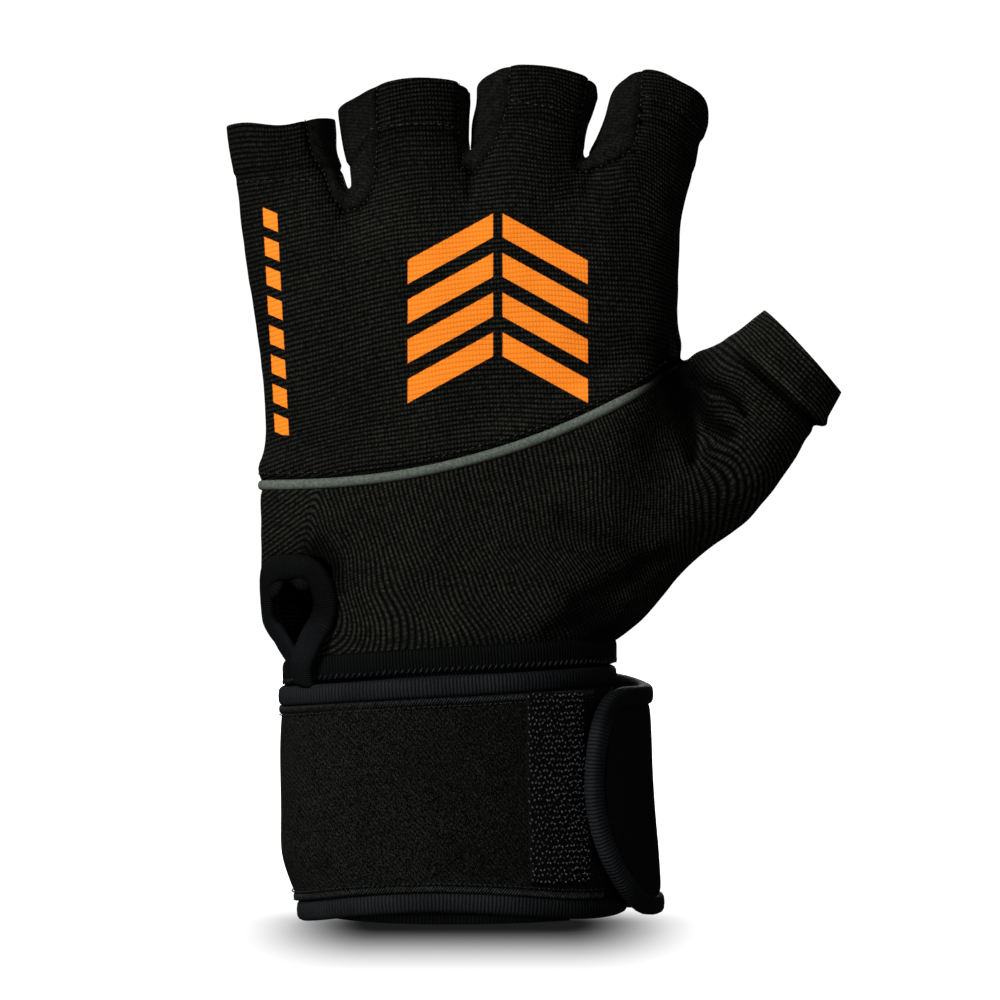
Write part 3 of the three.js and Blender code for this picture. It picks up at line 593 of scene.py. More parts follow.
def build_net():
    """The whole shell as one net of cells; gives its bmesh and the lower rings with their normals."""
    bm = bmesh.new()
    ring = first_ring(bm, lower_ring(LOWER_ROWS[0]))
    lower = [ring]
    opened = []
    for row, sizes in enumerate(LOWER_ROWS[1:]):
        ring, faces = grow(bm, ring, lower_ring(sizes), partial(hand_panel, ALL_COLUMNS, LOWER))
        lower.append(ring)
        opened += [face for face, cell in faces if in_slit(row, cell)]
    front, right, back, left = parts_of(ring, ALL_COLUMNS)
    thumb_web = web(bm, front[HAND_COLUMNS], back[HAND_COLUMNS], THUMB_WEB_RISE)
    thumb = front[HAND_COLUMNS:] + right + back[HAND_COLUMNS:][::-1] + thumb_web[::-1]
    for row in THUMB_TABLE:
        thumb, _ = grow(bm, thumb, thumb_ring(row), lambda _cell: LOWER)
    ring = front[: HAND_COLUMNS + 1] + thumb_web + back[: HAND_COLUMNS + 1][::-1] + left[::-1]
    for row in UPPER_ROWS:
        ring, _ = grow(bm, ring, upper_ring(row), partial(hand_panel, HAND_COLUMNS, UPPER))
    front, right, back, left = parts_of(ring, HAND_COLUMNS)
    columns = [gap * COLUMNS_PER_STALL for gap in range(1, STALLS)]
    webs = [left, *(web(bm, front[column], back[column], GAP_FOOT_DIP) for column in columns), right]
    add_stalls(bm, front, back, webs)
    bmesh.ops.recalc_face_normals(bm, faces=bm.faces)
    bm.normal_update()
    flat = [[v.co.copy() for v in loop] for loop in lower]
    normals = [[v.normal.copy() for v in loop] for loop in lower]
    round_slit(lower, flat)
    bmesh.ops.delete(bm, geom=opened, context="FACES")
    return bm, flat, normals


NET, FLAT_LOWER, NORMAL_LOWER = build_net()


# The fine shell: the net subdivided, with its folds and seams


def fine_shell():
    """The subdivided shell as one mesh, its panels still as material numbers."""
    cage = object_from("shell_cage", NET)
    for name in PANELS:
        cage.data.materials.append(bpy.data.materials.new(f"{name}_mark"))
    add_subdivision(cage, SUBDIVISIONS)
    mesh = evaluated_mesh(cage)
    bpy.data.objects.remove(cage)
    return mesh


# Small pulls on the cloth of the back: place (x, z), reach, and how far the cloth moves.
NUDGES = table(
    ("x", "z", "reach", "right", "up"),
    (-40.5, 176.0, 7.0, 0.0, -1.9),
    (-26.0, 181.0, 5.0, 0.5, -0.9),
    (-20.5, 184.0, 5.0, 0.2, -0.6),
    (-2.0, 185.0, 4.0, 0.6, 0.5),
    (27.2, 186.0, 4.0, 0.7, 0.3),
    (47.5, 185.5, 5.0, -0.8, -0.9),
    (51.5, 173.0, 6.0, -0.7, 0.0),
    (32.0, 180.0, 5.0, -0.5, 0.2),
    (31.0, 65.5, 5.0, 0.9, -0.2),
    (25.2, 168.0, 3.2, -0.7, -1.8),
    (-26.2, 162.3, 2.8, 0.2, -2.2),
    (-28.5, 170.0, 3.5, -0.5, 0.0),
    (46.6, 126.6, 4.0, -0.8, -0.9),
    (0.5, 180.0, 3.0, 0.5, 0.0),
    (75.0, 117.4, 3.2, -0.9, 0.4),
    (-31.5, 69.5, 5.0, 1.9, 0.0),
)
SLIT_POCKET = {"x": -31.2, "z": 77.5, "reach": 4.2, "right": 1.6, "up": 0.9}


def nudged(places, nudges):
    """Places pulled along x and z near each nudge."""
    x, z = places[:, 0], places[:, 2]
    moved = places.copy()
    for pull in nudges:
        share = np.exp(-(((x - pull["x"]) ** 2 + (z - pull["z"]) ** 2) / pull["reach"] ** 2))
        moved[:, 0] += share * pull["right"]
        moved[:, 2] += share * pull["up"]
    return moved


# How near a seam a vertex is drawn onto it, and the gussets' outlines on the back of the hand, as (x, z).
SEAM_REACH = 0.36
GUSSET_OUTLINES = (
    (
        (-34.5, 181.0), (-34.4, 173.0), (-32.2, 166.4), (-29.5, 158.8), (-26.8, 156.0), (-24.2, 156.4),
        (-21.6, 159.4), (-20.4, 164.0), (-20.1, 175.3), (-20.4, 190.0),
    ),
    (
        (-0.7, 190.0), (-0.5, 172.0), (-1.4, 166.2), (0.6, 163.8), (4.3, 168.6), (6.8, 175.2),
        (8.4, 179.5), (9.2, 190.0),
    ),
    (
        (25.8, 190.0), (25.1, 172.8), (23.6, 166.8), (25.2, 165.2), (28.4, 165.8), (32.4, 167.1),
        (35.3, 169.0), (36.5, 172.0), (37.4, 179.4), (37.6, 190.0),
    ),
)


def inside(at, outline):
    """Whether each (x, z) place lies inside an outline."""
    odd = np.zeros(len(at), bool)
    for (ax, az), (bx, bz) in zip(outline, (*outline[1:], outline[0])):
        crosses = (az > at[:, 1]) != (bz > at[:, 1])
        odd ^= crosses & (at[:, 0] < ax + (at[:, 1] - az) / (bz - az or 1e-9) * (bx - ax))
    return odd


def widen_gussets(mesh):
    """Gives the gussets their true outlines on the back of the hand, with vertices drawn onto the seams."""
    places, normals = read_mesh(mesh)
    flat = places[:, [0, 2]]
    front = normals[:, 1] < -0.15
    for outline in GUSSET_OUTLINES:
        for a, b in zip(outline, outline[1:]):
            a, d = np.array(a), np.array(b) - np.array(a)
            t = np.clip((flat - a) @ d / (d @ d), 0, 1)
            target = a + t[:, None] * d
            near = front & (np.linalg.norm(flat - target, axis=1) < SEAM_REACH)
            flat[near] = target[near]
    places[:, [0, 2]] = flat
    write_mesh(mesh, places)
    middles = np.zeros(len(mesh.polygons) * 3)
    mesh.polygons.foreach_get("center", middles)
    middles = middles.reshape(-1, 3) / MM
    numbers = np.zeros(len(mesh.polygons), np.int32)
    mesh.polygons.foreach_get("material_index", numbers)
    for gap, outline in enumerate(GUSSET_OUTLINES):
        grown = (numbers == UPPER) & (middles[:, 1] < 0) & inside(middles[:, [0, 2]], outline)
        numbers[grown] = FIRST_GUSSET + gap
    mesh.polygons.foreach_set("material_index", numbers)


def seam_kind(panels):
    if max(panels) >= FIRST_GUSSET:
        return "gusset"
    return "side" if PALM in panels else "piping"


def rim_kind(place):
    if place.z < 0.06 or (place.z < 0.064 and place.x > -0.03):
        return "hem"
    if place.z < 0.095 and place.x < -0.02:
        return "slit"
    return "mouth"


def find_lines(mesh):
    """Edges of the fine shell that lie on seams and open rims, as pairs of places by kind."""
    bm = bmesh.new()
    bm.from_mesh(mesh)
    lines = {"gusset": [], "side": [], "piping": [], "hem": [], "slit": [], "mouth": []}
    for edge in bm.edges:
        panels = {face.material_index for face in edge.link_faces}
        if len(edge.link_faces) == 1:
            kind = rim_kind(edge.verts[0].co)
        elif len(panels) == 2:
            kind = seam_kind(panels)
        else:
            continue
        lines[kind].append(tuple(v.index for v in edge.verts))
    bm.free()
    return lines


def leftmost(numbers):
    """The shell's vertex that lies farthest left, whatever order the mesh has its vertices in."""
    return min(numbers, key=lambda number: tuple(PLACES[number]))


def chains_of(pairs):
    """Orders pairs of vertex numbers into lines of numbers, each from its leftmost end."""
    near = {}
    for a, b in pairs:
        near.setdefault(a, []).append(b)
        near.setdefault(b, []).append(a)
    chains = []
    waiting = set(near)
    while waiting:
        ends = [v for v in waiting if len(near[v]) == 1]
        chain = [leftmost(ends or waiting)]
        waiting.discard(chain[0])
        while True:
            onward = [v for v in near[chain[-1]] if v in waiting]
            if not onward:
                break
            chain.append(leftmost(onward))
            waiting.discard(chain[-1])
        chains.append(chain)
    return chains


def distances(places, pairs):
    """Distance of every vertex from the nearest of the lines' vertices, in millimetres."""
    numbers = sorted({v for pair in pairs for v in pair})
    tree = KDTree(len(numbers))
    for i, number in enumerate(numbers):
        tree.insert(places[number], i)
    tree.balance()
    return np.array([tree.find(place)[2] for place in places])


def line_across(places, path, left, right, taper):
    """A soft line over the back of the hand along (x, z) places: 1 on it and 0 away from it."""
    flat = places[:, [0, 2]]
    best = np.full(len(places), np.inf)
    width = np.ones(len(places))
    for i, (start, end) in enumerate(zip(path, path[1:])):
        a, d = np.array(start, float), np.array(end, float) - np.array(start, float)
        t = np.clip((flat - a) @ d / (d @ d), 0, 1)
        away = flat - a - t[:, None] * d
        off = np.linalg.norm(away, axis=1)
        side = np.where(d[0] * away[:, 1] - d[1] * away[:, 0] > 0, left, right)
        nearer = off < best
        best = np.where(nearer, off, best)
        width = np.where(nearer, side * lerp(1, taper, (i + t) / (len(path) - 1)), width)
    return bell(best, width)


# Folds over the back of the hand: where they run, their half widths to the left and right of that
# line, how much of the width is left at the end, their depth, and the height of the cloth that stands
# up beside them.
FOLDS = table(
    ("path", "left", "right", "taper", "depth", "crest"),
    (((45.9, 122.0), (47.8, 114.4), (49.0, 107.9), (49.5, 101.9)), 1.6, 5.2, 0.35, 3.4, 0.4),
    (((49.3, 119.9), (51.3, 118.3), (55.6, 117.0), (58.8, 114.0), (60.5, 111.6)), 1.6, 1.4, 0.6, 2.4, 0.6),
    (((49.2, 115.5), (51.0, 112.0), (53.8, 109.2), (57.2, 106.8)), 2.2, 1.9, 0.7, 3.1, 1.0),
    (((53.6, 113.0), (57.6, 110.8), (61.5, 107.0)), 0.9, 0.9, 0.5, 0.5, 0.5),
    (((21.0, 88.5), (29.0, 83.5), (38.0, 79.5)), 3.0, 2.0, 0.8, 0.9, 0.7),
    (((24.0, 70.5), (33.0, 74.5), (43.0, 80.5)), 2.6, 2.6, 0.8, 1.1, 0.6),
    (((18.0, 64.0), (30.0, 69.5)), 2.4, 2.4, 0.8, 0.9, 0.3),
    (((0.2, 158.5), (0.6, 166.0)), 1.0, 1.0, 1.0, 0.9, 0.3),
    (((25.6, 160.0), (27.0, 166.0)), 1.1, 1.1, 1.0, 0.8, 0.3),
    (((-27.6, 155.0), (-26.8, 160.0)), 1.0, 1.0, 1.0, 0.6, 0.3),
    (((41.0, 178.4), (50.5, 174.4)), 0.8, 0.8, 0.8, 0.55, 0.25),
    (((43.0, 174.2), (51.0, 170.0)), 0.9, 0.9, 0.8, 0.4, 0.2),
    (((44.5, 158.0), (49.0, 150.0)), 1.6, 1.6, 0.8, 0.5, 0.2),
    (((-31.0, 84.0), (-28.5, 79.0), (-27.4, 73.0)), 1.5, 2.0, 0.8, 0.8, 0.5),
)
FOLD_CREST_WIDTH = 2.3
# Folds this deep or deeper get the darkest painted shade.
DARKEST_FOLD = 2.4
SEAM_TUCK = {"depth": 0.55, "width": 0.8, "shade": 0.75, "shade_width": 0.7}
SEAM_PUFF = {"height": 0.25, "at": 2.4, "width": 1.4}
PIPING_TUCK = {"depth": 0.5, "width": 1.3}
PIPING_PUFF = {"height": 0.95, "at": 3.6, "width": 2.4}
PIPING_SHADE = {"share": 0.8, "at": 1.2, "width": 0.8}
STALL_HEM = {
    "from_rim": 11.2,
    "blend": 0.6,
    "raised": 0.3,
    "groove": 0.32,
    "groove_width": 0.45,
    "groove_shade": 0.5,
}
THUMB_HEM = {
    "from_rim": 10.0,
    "blend": 0.7,
    "raised": 0.4,
    "roll": 0.75,
    "roll_at": -1.3,
    "roll_width": 1.0,
    "roll_light": 1.1,
    "dip": 1.8,
    "dip_at": 0.6,
    "dip_width": 1.0,
    "shade_at": 0.8,
    "shade_width": 1.35,
}
STALL_SHADE = {"share": 0.3, "from_z": 158, "to_z": 170}
SLIT_SHADE = {"share": 0.7, "width": 1.5, "from_z": 70, "to_z": 74}
UNEVENNESS = table(("size", "height"), (14, 0.55), (5, 0.16))
HEM_CALM = 5
# Parts of the cloth in shadow, such as the fold between hand and thumb, or, where a share is under 0, in
# light: a place, how wide and high it reaches, and its share.
SHADES = table(
    ("x", "z", "wide", "high", "share"),
    (47.0, 120.5, 5.6, 7.0, 0.97),
    (27.0, 66.0, 8.5, 6.0, 0.85),
    (5.0, 62.2, 26.0, 1.6, 0.5),
    (38.0, 78.0, 7.0, 3.0, 0.35),
    (45.5, 134.0, 6.0, 14.0, 0.45),
    (38.0, 142.0, 12.0, 24.0, 0.22),
    (64.0, 112.0, 20.0, 16.0, -0.22),
    (36.0, 95.0, 14.0, 12.0, -0.15),
    (-47.5, 130.0, 6.0, 40.0, 0.35),
    (-33.5, 81.8, 3.2, 2.8, 0.9),
    (-30.8, 77.5, 1.8, 5.0, 0.7),
    (-30.6, 67.0, 1.6, 3.0, 0.6),
)


def add_folds(places, facing, relief, openness):
    for fold in FOLDS:
        depth, crest, left, right = (fold[name] for name in ("depth", "crest", "left", "right"))
        narrow = line_across(places, fold["path"], left, right, fold["taper"])
        sides = (left * FOLD_CREST_WIDTH, right * FOLD_CREST_WIDTH)
        wide = line_across(places, fold["path"], *sides, fold["taper"])
        relief += facing * (crest * wide - (depth + crest) * narrow)
        # Painted shade along the fold, darkest for the deepest folds.
        openness *= 1 - facing * narrow * min(1, depth / DARKEST_FOLD)


def add_shades(places, facing, openness):
    x, _, z = places.T
    for shade in SHADES:
        off = ((x - shade["x"]) / shade["wide"]) ** 2 + ((z - shade["z"]) / shade["high"]) ** 2
        openness *= 1 - shade["share"] * facing * np.exp(-off)


def add_seams(places, lines, relief, openness):
    for kind in ("gusset", "side"):
        away = distances(places, lines[kind])
        relief -= SEAM_TUCK["depth"] * bell(away, SEAM_TUCK["width"])
        relief += SEAM_PUFF["height"] * bell(away - SEAM_PUFF["at"], SEAM_PUFF["width"])
        openness *= 1 - SEAM_TUCK["shade"] * bell(away, SEAM_TUCK["shade_width"])


def add_piping_seam(places, lines, relief, openness):
    x, _, z = places.T
    away = distances(places, lines["piping"])
    relief -= PIPING_TUCK["depth"] * bell(away, PIPING_TUCK["width"])
    above = ease(z - np.interp(x, *PIPING_LINE), -0.5, 1.5)
    relief += PIPING_PUFF["height"] * bell(away - PIPING_PUFF["at"], PIPING_PUFF["width"]) * above
    openness *= 1 - PIPING_SHADE["share"] * bell(away - PIPING_SHADE["at"], PIPING_SHADE["width"]) * above


def add_hems(places, lines, relief, openness):
    """The finger stalls' flat hems, each with a groove, and the thumb's, with a roll above a dip."""
    x, _, z = places.T
    rim = distances(places, lines["mouth"])
    on_thumb = ease(x, 52, 54) * ease(-z, -150, -148)
    on_fingers = 1 - on_thumb
    hem = 1 - ease(rim, STALL_HEM["from_rim"] - STALL_HEM["blend"], STALL_HEM["from_rim"])
    groove = bell(rim - STALL_HEM["from_rim"], STALL_HEM["groove_width"])
    relief += on_fingers * (STALL_HEM["raised"] * hem - STALL_HEM["groove"] * groove)
    up_thumb = z - 0.9 * x
    past = rim - np.interp(up_thumb, [46, 78], [-1.1, 0.9]) - THUMB_HEM["from_rim"]
    band = 1 - ease(past, -THUMB_HEM["blend"], 0)
    dip = bell(past - THUMB_HEM["dip_at"], THUMB_HEM["dip_width"])
    roll = bell(past - THUMB_HEM["roll_at"], THUMB_HEM["roll_width"])
    dark = bell(past - THUMB_HEM["shade_at"], THUMB_HEM["shade_width"])
    upper_edge = 1 - 0.95 * ease(up_thumb, 66, 76)
    lower_edge = 1 - 0.55 * (1 - ease(up_thumb, 49, 55))
    raised = THUMB_HEM["raised"] * band + THUMB_HEM["roll"] * roll
    relief += on_thumb * upper_edge * (raised - THUMB_HEM["dip"] * dip * lower_edge)
    # A painted highlight on the thumb's roll, and painted shade in its dip and in the stalls' grooves.
    openness *= 1 + THUMB_HEM["roll_light"] * on_thumb * roll * upper_edge
    openness *= 1 - on_thumb * dark * upper_edge - STALL_HEM["groove_shade"] * on_fingers * groove


def shell_relief(places, normals, lines):
    """How far each vertex of the shell moves out along its normal, in millimetres, and its shadow, 0 to 1."""
    z = places[:, 2]
    facing = ease(-normals[:, 1], 0.0, 0.5)
    relief = np.zeros(len(places))
    openness = np.ones(len(places))
    add_folds(places, facing, relief, openness)
    add_shades(places, facing, openness)
    add_seams(places, lines, relief, openness)
    add_piping_seam(places, lines, relief, openness)
    add_hems(places, lines, relief, openness)
    openness *= 1 - STALL_SHADE["share"] * ease(z, STALL_SHADE["from_z"], STALL_SHADE["to_z"])
    at_slit = bell(distances(places, lines["slit"]), SLIT_SHADE["width"])
    openness *= 1 - SLIT_SHADE["share"] * at_slit * ease(z, SLIT_SHADE["from_z"], SLIT_SHADE["to_z"])
    uneven = [
        sum(noise.noise(Vector(at) / row["size"]) * row["height"] for row in UNEVENNESS) for at in places
    ]
    calm = ease(distances(places, lines["hem"]), 0, HEM_CALM)
    return relief + np.array(uneven) * calm, 1 - openness


PIPING_LINE = (
    [at.x for at in FLAT_LOWER[-1][: HAND_COLUMNS + 1]],
    [at.z for at in FLAT_LOWER[-1][: HAND_COLUMNS + 1]],
)
SHELL = fine_shell()
widen_gussets(SHELL)
LINES = find_lines(SHELL)
PLACES, NORMALS = read_mesh(SHELL)
RELIEF, PAINTED_SHADE = shell_relief(PLACES, NORMALS, LINES)
PLACES = nudged(PLACES + NORMALS * RELIEF[:, None], [*NUDGES, SLIT_POCKET])
write_mesh(SHELL, PLACES)
# The "crease" attribute carries painted shade and painted light for the knit's colour: darker in folds,
# seams, hems and shadowed places, lighter where it is under 0.
SHELL.attributes.new("crease", "FLOAT", "POINT").data.foreach_set("value", PAINTED_SHADE.astype(np.float32))
PLACES, NORMALS = read_mesh(SHELL)


# The ribs

UPPER_PITCH = 1.02
LOWER_PITCH = 1.12
# For each height z over the back of the hand, places (x, fall, pitch): the ribs' fall to the right in
# degrees, where 90 is upright, and their pitch in millimetres. A program measured these numbers in the
# photograph, and they are rounded.
LOWER_RIBS = {
    134.0: [(61.9, 44, 0.95)],
    129.5: [(52.5, 46, 0.95), (58.6, 44, 0.95), (66.0, 44, 0.95)],
    125.2: [(54.3, 44, 0.95), (65.1, 45, 0.95), (72.0, 45, 0.95)],
    119.5: [(71.6, 45, 0.95), (77.0, 45, 0.95)],
    123.1: [(61.9, 44, 0.9), (68.3, 42, 0.9)],
    119.9: [(55.4, 16, 1.0), (61.9, 43, 1.0), (71.6, 42, 0.95)],
    116.6: [(55.4, 19, 0.97), (61.9, 37, 0.9), (68.3, 42, 0.9), (74.8, 44, 0.93)],
    113.4: [
        (52.2, 28, 1.1), (58.6, 31, 0.85), (65.1, 38, 0.88), (71.6, 42, 0.9), (78.0, 53, 0.9),
    ],
    110.2: [
        (42.4, 78, 0.8), (51.0, 24, 1.0), (58.6, 27, 0.9), (65.1, 40, 0.82), (74.8, 48, 0.86),
    ],
    106.9: [
        (42.4, 80, 0.8), (52.2, 39, 1.2), (58.6, 32, 0.95), (65.1, 45, 0.75), (71.6, 56, 0.88),
    ],
    103.7: [
        (32.7, 76, 0.9), (39.2, 80, 0.75), (46.2, 75, 0.8), (52.2, 43, 1.1), (58.6, 42, 0.9),
        (65.1, 52, 0.75),
    ],
    100.5: [
        (28.0, 82, 0.9), (36.0, 75, 0.75), (45.7, 76, 0.75), (52.2, 42, 1.2), (58.6, 49, 1.0),
        (65.1, 58, 0.75),
    ],
    97.1: [
        (5.0, 73, 1.03), (22.0, 82, 0.97), (33.0, 85, 0.88), (45.7, 84, 0.75), (48.9, 72, 0.85),
        (52.2, 60, 1.3), (58.6, 74, 1.0),
    ],
    93.9: [
        (-29.9, 72, 0.93), (-21.3, 73, 1.0), (-8.3, 73, 1.03), (4.6, 74, 1.03), (13.3, 77, 1.0),
        (21.9, 83, 0.95), (30.6, 88, 0.9), (36.0, 90, 0.82), (42.4, 92, 0.75), (48.9, 86, 0.8),
        (52.2, 76, 1.3), (58.6, 95, 0.95),
    ],
    90.6: [
        (-29.9, 71, 0.93), (-21.3, 73, 0.97), (-8.3, 73, 1.0), (4.6, 76, 1.0), (13.3, 80, 0.95),
        (21.9, 87, 0.93), (32.7, 90, 0.82), (39.2, 94, 0.75), (45.7, 89, 0.85), (52.2, 84, 1.2),
        (57.0, 103, 0.95),
    ],
    86.3: [
        (-29.9, 68, 0.9), (-21.3, 69, 0.95), (-8.3, 70, 1.0), (4.6, 72, 1.0), (13.3, 77, 0.93),
        (21.9, 83, 0.88), (30.6, 88, 0.8), (39.2, 92, 0.75), (45.7, 89, 0.88), (52.2, 95, 1.0),
    ],
    82.0: [
        (-34.2, 60, 0.8), (-25.6, 73, 0.9), (-17.0, 73, 0.97), (-8.3, 66, 1.0), (0.3, 63, 0.95),
        (8.9, 59, 0.87), (17.6, 59, 0.8), (26.2, 66, 0.77), (34.9, 74, 0.75), (42.4, 77, 0.75),
        (48.9, 88, 0.8),
    ],
    77.7: [
        (-29.9, 90, 0.9), (-25.6, 87, 0.97), (-17.0, 75, 1.05), (-8.3, 71, 1.03), (0.3, 65, 1.0),
        (8.9, 60, 0.95), (17.6, 55, 0.82), (26.2, 53, 0.75), (34.9, 60, 0.75),
    ],
    73.4: [
        (-29.9, 87, 0.93), (-21.3, 78, 1.05), (-8.3, 76, 1.12), (0.3, 72, 1.1), (8.9, 69, 1.07),
        (17.6, 70, 0.95), (26.2, 71, 0.8), (32.7, 74, 0.75),
    ],
    69.0: [
        (-27.8, 75, 1.0), (-21.3, 68, 1.03), (-12.6, 64, 1.05), (-4.0, 59, 1.05), (4.6, 54, 1.0),
        (13.3, 54, 0.9), (21.9, 56, 0.82), (30.6, 68, 0.75),
    ],
    64.7: [
        (-25.6, 100, 1.12), (-17.0, 89, 1.2), (-8.3, 76, 1.2), (4.6, 63, 1.18), (13.3, 65, 1.05),
        (24.0, 70, 0.88),
    ],
}
UPPER_RIBS = {
    179.2: [
        (-49.0, 0, 0.97), (-42.0, 2, 0.97), (-14.8, -11, 0.93), (-8.3, -1, 0.93), (11.1, -3, 0.95),
        (17.6, 9, 0.9), (24.1, 18, 0.88), (41.0, 14, 0.9), (49.0, 30, 0.9),
    ],
    172.7: [
        (-14.8, -9, 0.97), (-8.3, -2, 0.97), (11.1, 5, 0.93), (17.6, 11, 0.93), (40.0, 16, 0.9),
        (48.0, 32, 0.9),
    ],
    166.2: [
        (-47.0, -2, 1.0), (-40.0, -8, 1.0), (-14.8, -10, 0.93), (-8.3, -3, 0.93), (11.1, 5, 0.95),
        (17.6, 4, 0.9), (37.0, 16, 0.88), (43.5, 33, 0.85),
    ],
    159.8: [
        (-40.7, -9, 0.97), (-34.2, -9, 1.0), (-21.3, -14, 0.85), (-14.8, -11, 0.87), (-8.3, -8, 0.85),
        (4.6, -5, 1.0), (11.1, 1, 1.0), (17.6, -1, 0.95), (24.1, -4, 0.92), (30.6, -5, 1.0),
        (37.0, 8, 1.0), (43.5, 36, 0.8),
    ],
    153.3: [
        (-34.2, -10, 0.93), (-27.8, -12, 0.87), (-21.3, -13, 0.9), (-14.8, -11, 0.9), (11.1, 0, 1.05),
        (30.6, -3, 1.03), (37.0, 10, 1.05), (43.5, 22, 0.95),
    ],
    143.0: [
        (-34.2, -13, 0.95), (-21.3, -13, 0.95), (0.3, -9, 1.02), (14.0, -2, 1.07), (30.6, 1, 1.12),
        (37.0, 9, 1.12),
    ],
    133.8: [
        (-40.0, -15, 0.95), (-34.2, -15, 1.0), (-14.8, -11, 1.0), (30.6, 4, 1.07), (37.0, 5, 1.03),
    ],
    127.4: [
        (-34.2, -17, 1.1), (-14.8, -13, 1.1), (-1.8, -8, 1.12), (30.6, 0, 1.07), (37.0, 0, 1.0),
    ],
    120.9: [
        (-34.2, -17, 1.0), (-14.8, -12, 1.0), (-8.3, -8, 1.02), (24.1, -2, 1.05), (37.0, 5, 1.1),
    ],
    114.4: [
        (-34.2, -16, 0.97), (-14.8, -10, 1.0), (-1.8, -8, 0.97), (17.6, 0, 1.05), (30.6, 2, 1.12),
    ],
    107.9: [
        (-34.2, -14, 0.83), (-21.3, -12, 0.83), (-8.3, -8, 0.97), (4.6, -2, 1.12), (17.6, 0, 1.2),
    ],
    101.5: [(-42.0, -20, 1.0), (-34.2, -17, 1.02), (-21.3, -9, 0.9), (-14.8, -9, 0.93)],
}
RIB_SPLINE = {"scale": 30, "direction_weight": 4, "calm": 0.004}


def rib_count(rows, quarter_turn=False):
    """A smooth count of ribs over (x, z) that follows their directions and grows to the right or upwards.

    With a quarter turn it grows along the ribs instead, by 1 a millimetre.
    """
    scale = RIB_SPLINE["scale"]
    places = [(x, z, fall, pitch) for z, row in rows.items() for x, fall, pitch in row]
    samples = np.array(places, float)
    if quarter_turn:
        samples[:, 2:] = np.stack([samples[:, 2] + 90, np.ones(len(samples))], 1)
    points, size = samples[:, :2], len(samples)
    turn = np.radians(samples[:, 2])
    along = np.stack([np.cos(turn), -np.sin(turn)], 1)
    across = np.stack([np.sin(turn), np.cos(turn)], 1)
    off = points[:, None] - points
    away = np.linalg.norm(off, axis=2) + 1e-6
    steep = (off / scale) * ((2 * np.log(away / scale) + 1) / scale)[:, :, None]
    flat = np.repeat(np.eye(2)[None] / scale, size, 0)
    slopes = np.concatenate([steep, flat], 1)
    keeps = np.einsum("pkd,pd->pk", slopes, along) * RIB_SPLINE["direction_weight"]
    grows = np.einsum("pkd,pd->pk", slopes, across)
    calm = np.eye(size + 2)[:size] * RIB_SPLINE["calm"]
    wanted = np.concatenate([np.zeros(size), 1 / samples[:, 3], np.zeros(size)])
    weights = np.linalg.lstsq(np.concatenate([keeps, grows, calm]), wanted, rcond=None)[0]

    def count(at):
        reach = np.linalg.norm(at[:, None] - points, axis=2) / scale + 1e-9
        return np.hstack([reach**2 * np.log(reach), at / scale]) @ weights

    return count


def round_edges(x, y):
    """A width across the hand that goes on round its edges towards the palm."""
    beyond = np.logaddexp(0, (y + 9) / 3) * 3
    return x + np.sign(x) * beyond * ease(np.abs(x), 20, 42)


# Each function below gives, for every vertex, its place along a rib and its count of ribs.


def upper_ribs(places):
    x, y, z = places.T
    count = rib_count(UPPER_RIBS)(places[:, [0, 2]])
    wave = 0.1 * np.sin(x / 3.1 - z / 17) + 0.12 * np.sin(x / 7.3 + z / 11)
    return round_edges(x, y), count + wave


# Over the slit the lower ribs bend into an arch: a place on it, its slant, pitch and softness.
ARCH = {"x": -33.5, "z": 92.0, "lean": math.radians(35), "pitch": 1.0, "softness": 0.8}


def lower_ribs(places):
    x, y, z = places.T
    field = rib_count(LOWER_RIBS)
    count = field(places[:, [0, 2]])
    foot = field(np.array([(ARCH["x"], ARCH["z"])]))[0]
    off = (ARCH["x"] - x) * math.sin(ARCH["lean"]) + (z - ARCH["z"]) * math.cos(ARCH["lean"])
    arch = foot + off / ARCH["pitch"]
    soft = ARCH["softness"]
    beyond = np.logaddexp(0, (y + 11) / 3) * 3 * ease(-x, 30, 42)
    count = count - beyond / LOWER_PITCH
    count = np.where(x < -25, np.logaddexp(count / soft, arch / soft) * soft, count)
    return rib_count(LOWER_RIBS, True)(places[:, [0, 2]]), count


def palm_ribs(places):
    x, _, z = places.T
    return x, z / UPPER_PITCH


def gusset_ribs(places):
    x, y, z = places.T
    return x + y, (z + 0.35 * x + 0.2 * y) / 0.8


def panel_object(number, ribs):
    """One sewn panel of the shell, with the knit's directions as its UV map and a wall's thickness."""
    bm = bmesh.new()
    bm.from_mesh(SHELL)
    others = [face for face in bm.faces if face.material_index != number]
    bmesh.ops.delete(bm, geom=others, context="FACES")
    mesh = bpy.data.meshes.new(PANELS[number])
    bm.to_mesh(mesh)
    bm.free()
    made = link(f"{PANELS[number]}_cloth", mesh)
    places, _ = read_mesh(mesh)
    along, count = ribs(places)
    corner = np.zeros(len(mesh.loops), np.int64)
    mesh.loops.foreach_get("vertex_index", corner)
    layer = mesh.uv_layers.new(name="cloth")
    layer.data.foreach_set("uv", np.stack([along, count], 1)[corner].astype(np.float32).ravel())
    mesh.polygons.foreach_set("material_index", np.zeros(len(mesh.polygons), np.int32))
    mesh.shade_smooth()
    add_wall(made, WALL)
    return made


# Materials


